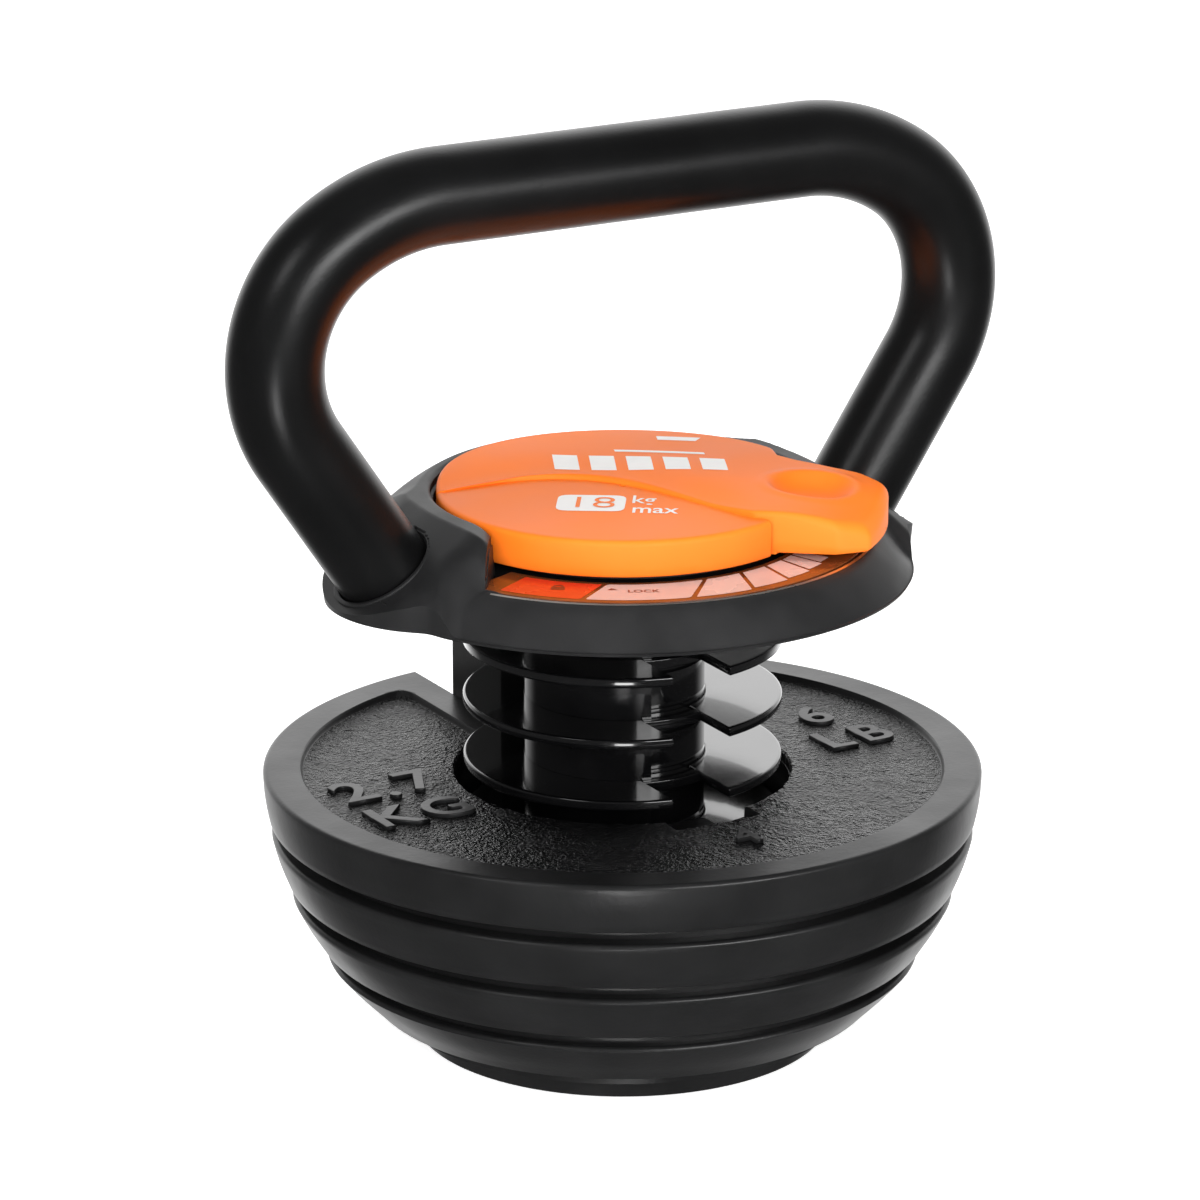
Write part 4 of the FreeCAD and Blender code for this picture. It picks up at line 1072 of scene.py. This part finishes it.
    def band(self) -> Shell:
        """Return the raised band and lever as rings shrunk towards a middle point.

        The rings run from the middle of the underside out to the edge, up the side, over a rounded
        shoulder and back to the middle of the top. The underside lies in the drum, and drops to the
        lever's lower face outside it.
        """
        middle = np.array([5.0, -25.0])
        edge = self.band_edge()
        offset = edge - middle
        size = np.linalg.norm(offset, axis=1)
        direction = offset / size[:, None]
        beside = (edge[:, 0] > self.step - 2.5) & (edge[:, 1] > 0)
        bottom = np.where((np.hypot(*edge.T) > self.radius + 0.4) | beside, self.floor, 157.0)
        bead = 1.0 + 1.2 * smooth(46.0, 68.0, edge[:, 0])
        wall = self.band_height(edge[:, 0], edge[:, 1]) - 0.9 - 1.5 * bead - bottom
        arc = np.linspace(0, math.pi / 2, 7)
        rings = [size * share for share in (0.0, 0.35, 0.7)] + [size - 0.9, size, size, size]
        levels = [bottom] * 4 + [bottom + 0.9, bottom + 0.9 + 0.3 * wall, bottom + 0.9 + 0.6 * wall]
        over = [size - 1.6 * bead * (1 - math.cos(t)) for t in arc]
        over += [(size - 1.6 * bead) * t for t in np.linspace(0.98, 0.0, 60)]
        down = bead[:, None] * np.concatenate([1.5 * (1 - np.sin(arc)), np.zeros(60)])
        ring = np.maximum(np.stack(rings + over, 1), 0.02)
        u, v = middle[0] + direction[:, :1] * ring, middle[1] + direction[:, 1:] * ring
        top = self.band_height(u[:, len(rings):], v[:, len(rings):]) - down
        x, y = self.to_world(u, v)
        return grid_shell(np.stack([x, y, np.hstack([np.stack(levels, 1), top])], -1), ring=True)

    def build(self, dresser: Dresser) -> None:
        """Make drum, band and prints, and dress them.

        Args:
            dresser: Gives the pieces their finish and body.
        """
        body = Body.SPOOL
        dial = make_object("dial_moulding", [self.drum(), self.band()], 45)
        dresser.dress(dial, "orange_dial_plastic", body, "dial_knob")
        turn = self.print_turn
        badge = rounded(oblong(-9.6, -7.6, 9.6, 7.6), 3.4)
        self.print_shape("load_box", badge, (-16.2, -10.6), turn, dresser, "white_ink")
        number = lettering("load_number", "18", 14.5, 0.0, -0.12, (-16.2, -10.6, self.face + 0.62), turn)
        self.settle(number, 0.16)
        dresser.dress(number, "orange_dial_plastic", body)
        for name, text, place in (("unit_word", "kg", (-2.0, -15.4)), ("limit_word", "max", (-4.0, -25.0))):
            word = lettering(name, text, 10.4, 0.0, 0.10, (*place, self.face + 0.6), turn, 0.74)
            self.settle(word, 0.10)
            dresser.dress(word, "white_ink", body)
        for index in range(5):
            start = -23.0 + index * 10.6
            bar = np.array([(start, -19.5), (start + 7.2, -19.5), (start + 9.6, -8.5), (start + 2.4, -8.5)])
            self.print_bar("turn_bar_%d" % (index + 1), bar, dresser)
        small = np.array([(4.0, -43.2), (17.0, -43.2), (16.0, -38.6), (5.0, -38.6)])
        self.print_bar("rear_bar", small, dresser)
        thin = np.array([(-6.0, -25.6), (20.0, -25.6), (20.6, -23.6), (-5.4, -23.6)])
        self.print_bar("thin_bar", thin, dresser)

    def settle(self, piece: bpy.types.Object, lift: float) -> None:
        """Lay a flat print on the drum's domed face.

        Args:
            piece: The piece.
            lift: How far it stands off the face, in mm.
        """
        co = read_points(piece.data)
        co[:, 2] = (self.face_height(co[:, 0] / MM, co[:, 1] / MM) + lift) * MM
        write_points(piece.data, co)

    def print_shape(self, name: str, outline: np.ndarray, place: tuple[float, float], turn: float,
                    dresser: Dresser, ink: str) -> None:
        """Lay a small outline on the drum's face, turned and placed.

        Args:
            name: Name of the piece.
            outline: Outline points as x and y, in mm.
            place: Where its middle goes, in mm.
            turn: Direction of reading in degrees.
            dresser: Gives the pieces their finish and body.
            ink: Name of its finish.
        """
        x, y = spin(outline[:, 0], outline[:, 1], turn)
        flat = flat_shape(np.column_stack([x + place[0], y + place[1]]), self.face + 0.6)
        piece = make_object(name, [flat])
        self.settle(piece, 0.08)
        dresser.dress(piece, ink, Body.SPOOL)

    def print_bar(self, name: str, corners: np.ndarray, dresser: Dresser) -> None:
        """Lay a four-sided mark on the band's dome as a fine patch between its corners.

        Args:
            name: Name of the piece.
            corners: Its corners along and across the lever, in mm.
            dresser: Gives the pieces their finish and body.
        """
        s, t = np.linspace(0, 1, 14)[:, None, None], np.linspace(0, 1, 14)[None, :, None]
        near, far = corners[0] * (1 - s) + corners[1] * s, corners[3] * (1 - s) + corners[2] * s
        patch = near * (1 - t) + far * t
        x, y = self.to_world(patch[..., 0], patch[..., 1])
        z = self.band_height(patch[..., 0], patch[..., 1]) + 0.07
        grid = np.stack([x, y, z], -1)[:, ::-1]
        dresser.dress(make_object(name, [grid_shell(grid, loop=False)]), "white_ink", Body.SPOOL)


# ---------------------------------------------------------------- spool
@dataclass
class Spool:
    """The notched flanges on their core, with part-round sleeves between them."""

    count: int = 7
    pitch: float = 18.0
    first_top: float = 12.0
    thickness: float = 2.8
    radius: float = 45.6
    bore: float = 23.55
    notch_half: float = 9.15
    sink: float = 0.35
    notch_reach: float = 30.0
    sleeve_radius: float = 28.5
    sleeve_start: float = 70.0
    sleeve_sweep: float = 187.0
    core_radius: float = 23.5
    core_base: float = 9.3
    core_top: float = 134.0

    def top_of(self, level: int) -> float:
        """Return the height of a flange's top."""
        return self.first_top + (level - 1) * self.pitch

    def flange(self, level: int) -> list[Shell]:
        """Return a flange: a ring with a parallel notch in front, and the web at the notch's foot.

        Args:
            level: Level in the stack; the lowest is 1.

        Returns:
            The ring and the web.
        """
        top, base = self.top_of(level), self.top_of(level) - self.thickness
        path = rounded(oblong(self.bore, base, self.radius, top), 0.7)
        fill = np.linspace(self.radius - 1.2, self.bore + 1.2, 10)
        path = np.vstack([path[:15], np.column_stack([fill, np.full(10, top)]), path[15:]])
        angle = slot_angles(path[:, 0], self.notch_half, (0.25, 0.6, 1.2, 3.0), 300)
        x, y = path[:, 0] * np.sin(angle), -path[:, 0] * np.cos(angle)
        z = np.broadcast_to(path[:, 1], x.shape).copy()
        middle = (top + base) / 2
        for row in (0, -1):
            z[row] = middle + (z[row] - middle) * (1 - self.sink / (self.thickness / 2))
        ring = grid_shell(np.stack([x, y, z], -1), caps=True)
        web = rounded(oblong(self.bore, base, self.notch_reach, top), 0.35)
        span = np.arcsin((self.notch_half + 0.1) / self.notch_reach) * np.linspace(-1, 1, 20)[:, None]
        grid = np.stack([web[:, 0] * np.sin(span), -web[:, 0] * np.cos(span),
                         np.broadcast_to(web[:, 1], (20, len(web)))], -1)
        return [ring, grid_shell(grid, caps=True)]

    def sleeve(self, level: int) -> Shell:
        """Return a sleeve, a little thicker in its upper band.

        Args:
            level: Level in the stack; the lowest is 1.

        Returns:
            The closed shell.
        """
        base = self.top_of(level)
        top = self.core_top if level == self.count else self.top_of(level + 1) - self.thickness
        band = top - 5.0
        slim, full = self.sleeve_radius - 0.25, self.sleeve_radius
        outline = np.array([(self.bore, base), (slim, base), (slim, band), (full, band + 0.3), (full, top),
                            (self.bore, top)])
        path = rounded(outline, 0.12)
        angle = np.radians(self.sleeve_start + np.linspace(0, self.sleeve_sweep, 180))[:, None]
        return grid_shell(revolve(path, angle), caps=True)

    def core(self) -> Shell:
        """Return the core, with a fine groove above and below every flange."""
        points = [(18.0, self.core_base), (self.core_radius, self.core_base)]
        for level in range(1, self.count + 1):
            for height in (self.top_of(level) - self.thickness - 3.4, self.top_of(level) + 1.6):
                if self.core_base + 2 < height < self.core_top - 2:
                    points += [(self.core_radius, height - 0.5), (self.core_radius - 0.5, height),
                               (self.core_radius, height + 0.5)]
        points += [(self.core_radius, self.core_top), (18.0, self.core_top)]
        return turned(points, 240)

    def build(self, dresser: Dresser) -> None:
        """Make core, flanges and sleeves, and dress them.

        Args:
            dresser: Gives the pieces their finish and body.
        """
        pieces = [("spool_core", [self.core()], 30, "core_tube")]
        for level in range(1, self.count + 1):
            pieces.append(("notched_flange_%d" % level, self.flange(level), 45, "flange_%d" % level))
            pieces.append(("spacer_sleeve_%d" % level, [self.sleeve(level)], 40, "sleeve_%d" % level))
        for name, shells, crease, node in pieces:
            dresser.dress(make_object(name, shells, crease), "spool_gloss", Body.SPOOL, node)


# ---------------------------------------------------------------- plates
@dataclass
class PlateStack:
    """The C-shaped iron plates, stacked as a bowl."""

    count: int = 4
    pitch: float = 18.0
    foot_height: float = 8.4
    band: float = 14.2
    bowl_radius: float = 103.0
    bowl_centre: float = 84.0
    neck_step: float = 6.0
    rim_width: float = 10.5
    recess: float = 1.8
    opening: float = 48.0
    slot_half: float = 14.3
    land: float = 9.7
    corner: float = 7.0
    bay_reach: float = 54.5
    bay_half: float = 13.0
    bay_depth: float = 5.0
    tab_half: float = 7.3
    tab_reach: float = 34.0
    tab_thickness: float = 6.0
    tab_gap: float = 0.5
    spool_first: float = 12.0

    def bowl(self, height: float) -> float:
        """Return the radius of the bowl at a height."""
        return math.sqrt(self.bowl_radius ** 2 - (self.bowl_centre - height) ** 2)

    def casting(self, level: int) -> Shell:
        """Return one plate as a closed profile carried round from one side of the slot to the other.

        Args:
            level: Level in the stack; the lowest plate is 1.

        Returns:
            The closed shell.
        """
        top = self.foot_height + level * self.pitch
        base, floor = top - self.pitch, top - self.recess
        rim, foot = self.bowl(top), self.bowl(top - self.band)
        neck, shelf = foot - self.neck_step, rim - self.rim_width
        arc = np.linspace(0, math.pi / 2, 6)
        edge = np.column_stack([rim - 1.3 + 1.3 * np.sin(arc), top - 1.3 + 1.3 * np.cos(arc)])
        side_t = np.linspace(0, 1, 9)[1:-1, None]
        side = edge[-1] * (1 - side_t) + np.array([foot + 0.05, top - self.band + 0.7]) * side_t
        side[:, 0] += 0.35 * np.sin(math.pi * side_t[:, 0])
        under = [(foot, top - self.band + 0.5), (foot - 0.5, top - self.band), (neck, top - self.band),
                 (neck, base), (self.opening, base)]
        bore, bay = self.opening, top - self.bay_depth
        wall = [(bore, base + 5), (bore, bay), (bore + 0.15, bay), (bore + 0.3, floor - 0.5),
                (bore + 0.8, floor)]
        rows = np.concatenate([np.linspace(bore + 1.4, shelf - 1.4, 58), np.linspace(shelf - 1.2, shelf, 6)])
        inner = np.column_stack([rows, np.full(len(rows), floor)])
        rim_rows = np.column_stack([np.linspace(shelf + 0.6, rim - 1.7, 5), np.full(5, top)])
        path = np.vstack([wall, inner, rim_rows, edge, side, under])
        lines = (0.2, 0.5, 1.0, 3.0, 6.0, 9.2, 9.7, 10.0, 10.3, 10.6, 10.9, 11.4, 12.4, 14.0)
        angle = slot_angles(path[:, 0], self.slot_half, lines, 660)
        radius = np.broadcast_to(path[:, 0], angle.shape).copy()
        turn = angle - math.pi
        across = np.abs(np.sin(turn) * 51.0)
        in_bay = 1 - smooth(self.bay_half - 0.7, self.bay_half + 0.7, across)
        in_bay = in_bay * (np.cos(turn) > 0)
        ragged = 0.22 * lattice_noise(angle * 30, angle * 0 + level * 7, 1.0, 5 + level)
        extra = in_bay * (self.bay_reach / np.maximum(np.cos(turn), 0.5) - self.opening)
        span = self.opening + 9.0
        weight = np.clip((span - radius) / (span - self.opening), 0, 1)
        weight[:, :2] = 0
        radius = radius + (extra + ragged * (radius > self.opening + 0.2)) * weight
        x, y = radius * np.sin(angle), radius * np.cos(angle)
        z = np.broadcast_to(path[:, 1], x.shape).copy()
        from_rim = shelf - radius
        from_land = np.where(y > 0, np.abs(x) - self.slot_half - self.land, 99.0)
        close = (from_rim < self.corner) & (from_land < self.corner)
        inside = np.where(close, self.corner - np.hypot(self.corner - from_rim, self.corner - from_land),
                          np.minimum(from_rim, from_land))
        column = np.arange(z.shape[1])
        is_floor = (column >= len(wall) - 1) & (column < len(wall) + len(rows))
        dip = self.recess * smooth(0.0, 1.15, inside)
        rough = 0.06 * lattice_noise(x, y, 2.3, 11)
        rough = rough + 0.10 * lattice_noise(x + y * 0.5, y - x * 0.5, 1.25, 12)
        cast = top - dip + rough * smooth(1.0, 2.2, inside)
        z = np.where(is_floor, cast, z)
        lip = column == len(wall) - 2
        z = np.where(lip & (from_land < 0), top - 0.5, z)
        return grid_shell(np.stack([x, y, z], -1), caps=True)

    def tab(self, level: int) -> Shell:
        """Return the tab that reaches under the spool's flange, with rounded edges.

        Args:
            level: Level in the stack; the lowest is 1.

        Returns:
            The closed shell.
        """
        seat = self.spool_first + (level - 1) * self.pitch + self.tab_gap
        x0, y0, y1 = self.tab_half, -self.tab_reach, -self.opening - 2.0
        plan = rounded(oblong(-x0, y1, x0, y0), 1.6)
        centre = plan.mean(0)
        top = seat + self.tab_thickness
        levels = [(0.02, seat), (0.9, seat), (0.97, seat), (1.0, seat + 0.5), (1.0, top - 0.5),
                  (0.97, top), (0.9, top), (0.02, top)]
        grid = np.stack([np.column_stack([centre + (plan - centre) * share, np.full(len(plan), height)])
                         for share, height in levels], 1)
        return grid_shell(grid, ring=True)

    def pedestal(self) -> Shell:
        """Return the foot cast under the lowest plate, grooved for its rubber ring."""
        outline = [(24.0, 1.2), (45.9, 1.2), (45.9, 4.0), (56.6, 4.0), (56.6, 1.2), (60.0, 1.2), (61.4, 8.4),
                   (61.4, 8.8), (48.0, 8.8), (48.0, 4.9), (24.0, 4.9)]
        return turned(outline, 360, 0.5)

    def build(self, dresser: Dresser) -> None:
        """Make every plate, its tab and the raised characters, and dress them.

        Args:
            dresser: Gives the pieces their finish and body.
        """
        for level in range(1, self.count + 1):
            name = "plate_%d" % level
            shells = [self.casting(level), self.tab(level)] + ([self.pedestal()] if level == 1 else [])
            piece = make_object("iron_" + name, shells, 40)
            dresser.dress(piece, "plate_enamel", name, name)
            self.roughen(piece, level, dresser)
            self.mark(level, dresser)
        ring = turned([(46.2, 0.0), (56.3, 0.0), (56.3, 3.9), (46.2, 3.9)], 240, 0.8)
        dresser.dress(make_object("foot_rubber_ring", [ring], 50), "black_rubber", "plate_1", "rubber_foot")

    def roughen(self, piece: bpy.types.Object, level: int, dresser: Dresser) -> None:
        """Give the faces on the recess's floor the hammered finish.

        Args:
            piece: The piece.
            level: Level in the stack; the lowest is 1.
            dresser: Gives the pieces their finish and body.
        """
        top = (self.foot_height + level * self.pitch) * MM
        mesh = piece.data
        mesh.materials.append(dresser.materials["hammered_enamel"])
        centre = np.empty(len(mesh.polygons) * 3, np.float32)
        mesh.polygons.foreach_get("center", centre)
        centre = centre.reshape(-1, 3)
        normal = np.empty(len(mesh.polygons) * 3, np.float32)
        mesh.polygons.foreach_get("normal", normal)
        deep = (centre[:, 2] < top - 1.35 * MM) & (centre[:, 2] > top - 2.4 * MM)
        deep &= normal.reshape(-1, 3)[:, 2] > 0.6
        mesh.polygons.foreach_set("material_index", deep.astype(np.int32))

    def mark(self, level: int, dresser: Dresser) -> None:
        """Raise the weight characters and the plate's number from the recess's floor.

        Args:
            level: Level in the stack; the lowest is 1.
            dresser: Gives the pieces their finish and body.
        """
        top = self.foot_height + level * self.pitch
        edge = self.rim_width + self.opening
        scale = (self.bowl(top) - edge) / (self.bowl(80.4) - edge)
        floor = top - self.recess - 0.15
        marks = (("digit_2", "2", 22.0, -78.4, 15.2), ("point", ".", 22.0, -68.6, 14.2),
                 ("digit_7", "7", 22.0, -58.2, 15.6), ("letter_k", "K", 21.0, -78.0, -8.0),
                 ("letter_g", "G", 20.0, -61.4, -8.0), ("digit_6", "6", 20.0, 70.0, 8.6),
                 ("letter_l", "L", 19.0, 63.2, -13.0), ("letter_b", "B", 19.0, 76.4, -13.0),
                 ("number", str(level), 14.0, 0.0, -69.5))
        for label, text, size, x, y in marks:
            r = math.hypot(x, y)
            near = self.opening + (r - self.opening) * scale
            size = size * scale if scale < 1 else size
            place = (x * near / r, y * near / r, floor)
            piece = lettering("plate_%d_%s" % (level, label), text, size, 0.75, 0.22, place, 0.0)
            dresser.dress(piece, "plate_enamel", "plate_%d" % level)


# ---------------------------------------------------------------- carried-over nodes
NODE_FINISH = {
    "mounting_plate": "keel_coat", "lower_cover": "matt_collar_plastic", "main_bush": "bush_bronze",
    "dial_carrier": "carrier_plastic", "core_head": "spool_gloss", "end_cap": "spool_gloss",
}
STEEL_NODES = (
    "tube_plug_right", "tube_plug_left", "leg_pins", "cover_screws", "thrust_washer", "detent_ball",
    "detent_spring", "detent_plug", "keel_bolts", "dial_screws", "drive_key", "retaining_ring", "tie_bolt",
    "tie_washer", "tie_nut",
)


# ---------------------------------------------------------------- stage
@dataclass
class Stage:
    """Pale floor, soft studio light and the camera."""

    azimuth: float = -29.5
    elevation: float = 17.59
    distance: float = 1.545
    lens: float = 163.1
    aim_shift: float = -0.0064
    aim_height: float = 0.1286
    card_azimuth: float = 1.0
    card_elevation: float = -17.0
    card_distance: float = 1800.0
    card_half: tuple[float, float] = (190.0, 110.0)

    def camera(self) -> None:
        """Place the camera at its azimuth and elevation, looking at the aim point."""
        a = math.radians(self.azimuth)
        aim = Vector((self.aim_shift * math.cos(a), self.aim_shift * math.sin(a), self.aim_height))
        data = bpy.data.cameras.new("studio_camera")
        data.lens, data.sensor_width, data.clip_end = self.lens, 36.0, 50.0
        item = add_object("studio_camera", data)
        aim_at(item, aim + self.distance * Vector(heading(self.azimuth, self.elevation)), aim)
        bpy.context.scene.camera = item

    def softbox(self, name: str, place: tuple[float, float, float], size: tuple[float, float],
                radiance: float, mirrored: bool = True) -> None:
        """Hang a rectangular soft light that faces the object.

        Args:
            name: Name of the light.
            place: Azimuth and elevation in degrees from the camera's side, and distance in metres.
            size: Width and height in metres.
            radiance: Brightness of its face.
            mirrored: Whether glossy surfaces show it.
        """
        aim = Vector((0, 0, 0.14))
        data = bpy.data.lights.new(name, "AREA")
        data.shape, data.size, data.size_y = "RECTANGLE", *size
        data.energy = radiance * math.pi * size[0] * size[1]
        item = add_object(name, data)
        aim_at(item, aim + place[2] * Vector(heading(self.azimuth + place[0], place[1])), aim)
        item.visible_camera, item.visible_glossy = False, mirrored

    @staticmethod
    def glowing(name: str, shade: float, strength: float) -> bpy.types.Material:
        """Return a grey material that gives off white light.

        Args:
            name: Name of the piece.
            shade: Grey of the surface, from 0 to 1.
            strength: Brightness of its light.

        Returns:
            The material.
        """
        paint = bpy.data.materials.new(name)
        paint.use_nodes = True
        preset(paint.node_tree.nodes["Principled BSDF"], Base_Color=(shade, shade, shade, 1),
               Emission_Color=(1, 1, 1, 1), Emission_Strength=strength)
        return paint

    def glow_card(self) -> None:
        """Set a narrow bright card low in front, which draws the upright shine on the spool."""
        around = math.radians(self.azimuth + self.card_azimuth)
        out = np.array(heading(self.azimuth + self.card_azimuth, self.card_elevation))
        side = np.array([math.cos(around), math.sin(around), 0.0])
        rise = np.cross(side, out) * -1.0
        middle = out * self.card_distance + np.array([0.0, 0.0, 100.0])
        wide, high = self.card_half
        spots = [middle + side * w * wide + rise * h * high for w, h in oblong(-1, -1, 1, 1)]
        card = make_object("shine_card", [Shell(np.array(spots), np.array([[0, 1, 2, 3]]))])
        paint = self.glowing("shine_card", 0.0, 12.0)
        paint.cycles.emission_sampling = "NONE"
        card.data.materials.append(paint)
        card.visible_camera, card.visible_shadow, card.visible_diffuse = False, False, False

    def surroundings(self) -> None:
        """Set a world that is bright behind the object and dark in front of it."""
        world = bpy.data.worlds.new("studio")
        world.use_nodes = True
        tree = world.node_tree
        light = tree.nodes["Background"]
        preset(light, Color=(1, 1, 1, 1))
        place, dot = tree.nodes.new("ShaderNodeTexCoord"), tree.nodes.new("ShaderNodeVectorMath")
        spread = tree.nodes.new("ShaderNodeMapRange")
        a = math.radians(self.azimuth)
        dot.operation = "DOT_PRODUCT"
        dot.inputs[1].default_value = (-math.sin(a), math.cos(a), 0.0)
        spread.interpolation_type = "SMOOTHSTEP"
        preset(spread, From_Min=0.50, From_Max=0.93, To_Min=0.10, To_Max=1.60)
        wire(tree, (place.outputs["Generated"], dot.inputs[0]),
             (dot.outputs["Value"], spread.inputs["Value"]),
             (spread.outputs["Result"], light.inputs["Strength"]))
        bpy.context.scene.world = world

    def build(self) -> None:
        """Lay the floor, hang the lights and set the world."""
        self.camera()
        floor = make_object("studio_floor", [flat_shape(oblong(-6000, -6000, 6000, 6000), 0.0)])
        paint = self.glowing("pale_floor", 0.86, 0.75)
        preset(paint.node_tree.nodes["Principled BSDF"], Roughness=0.9, Specular_IOR_Level=0.1)
        floor.data.materials.append(paint)
        floor.visible_glossy = False
        self.softbox("overhead", (0, 84, 2.0), (1.6, 1.6), 3.1, mirrored=False)
        self.softbox("front_fill", (-8, 16, 1.6), (1.2, 0.9), 8.0, mirrored=False)
        self.softbox("left_key", (-40, 40, 1.5), (0.40, 0.40), 3.0)
        self.softbox("front_box", (34, 16, 1.5), (0.95, 0.34), 8.5)
        self.glow_card()
        self.surroundings()
        bpy.context.scene.view_settings.view_transform = "Standard"


def corners(box: Sequence[Vector]) -> list[list[float]]:
    """Return a box's two corners as plain lists."""
    return [[float(value) for value in corner] for corner in box]


def main() -> None:
    """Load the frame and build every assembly."""
    logging.basicConfig(level=logging.INFO, format="%(name)s: %(message)s")
    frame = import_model()
    dresser = Dresser()
    for assembly in (Handle(), Collar(), Scale(), Dial(), Spool(), PlateStack()):
        assembly.build(dresser)
        log.info("%s done", type(assembly).__name__)
    keel = softened("keel", "keel_blade", 0.8)
    dresser.dress(keel, "keel_coat", Body.HANDLE, "keel")
    for name, finish in {**NODE_FINISH, **dict.fromkeys(STEEL_NODES, "bright_steel")}.items():
        dresser.paint_node(frame["nodes"][name], finish)
    Stage().build()


if __name__ == "__main__":
    main()
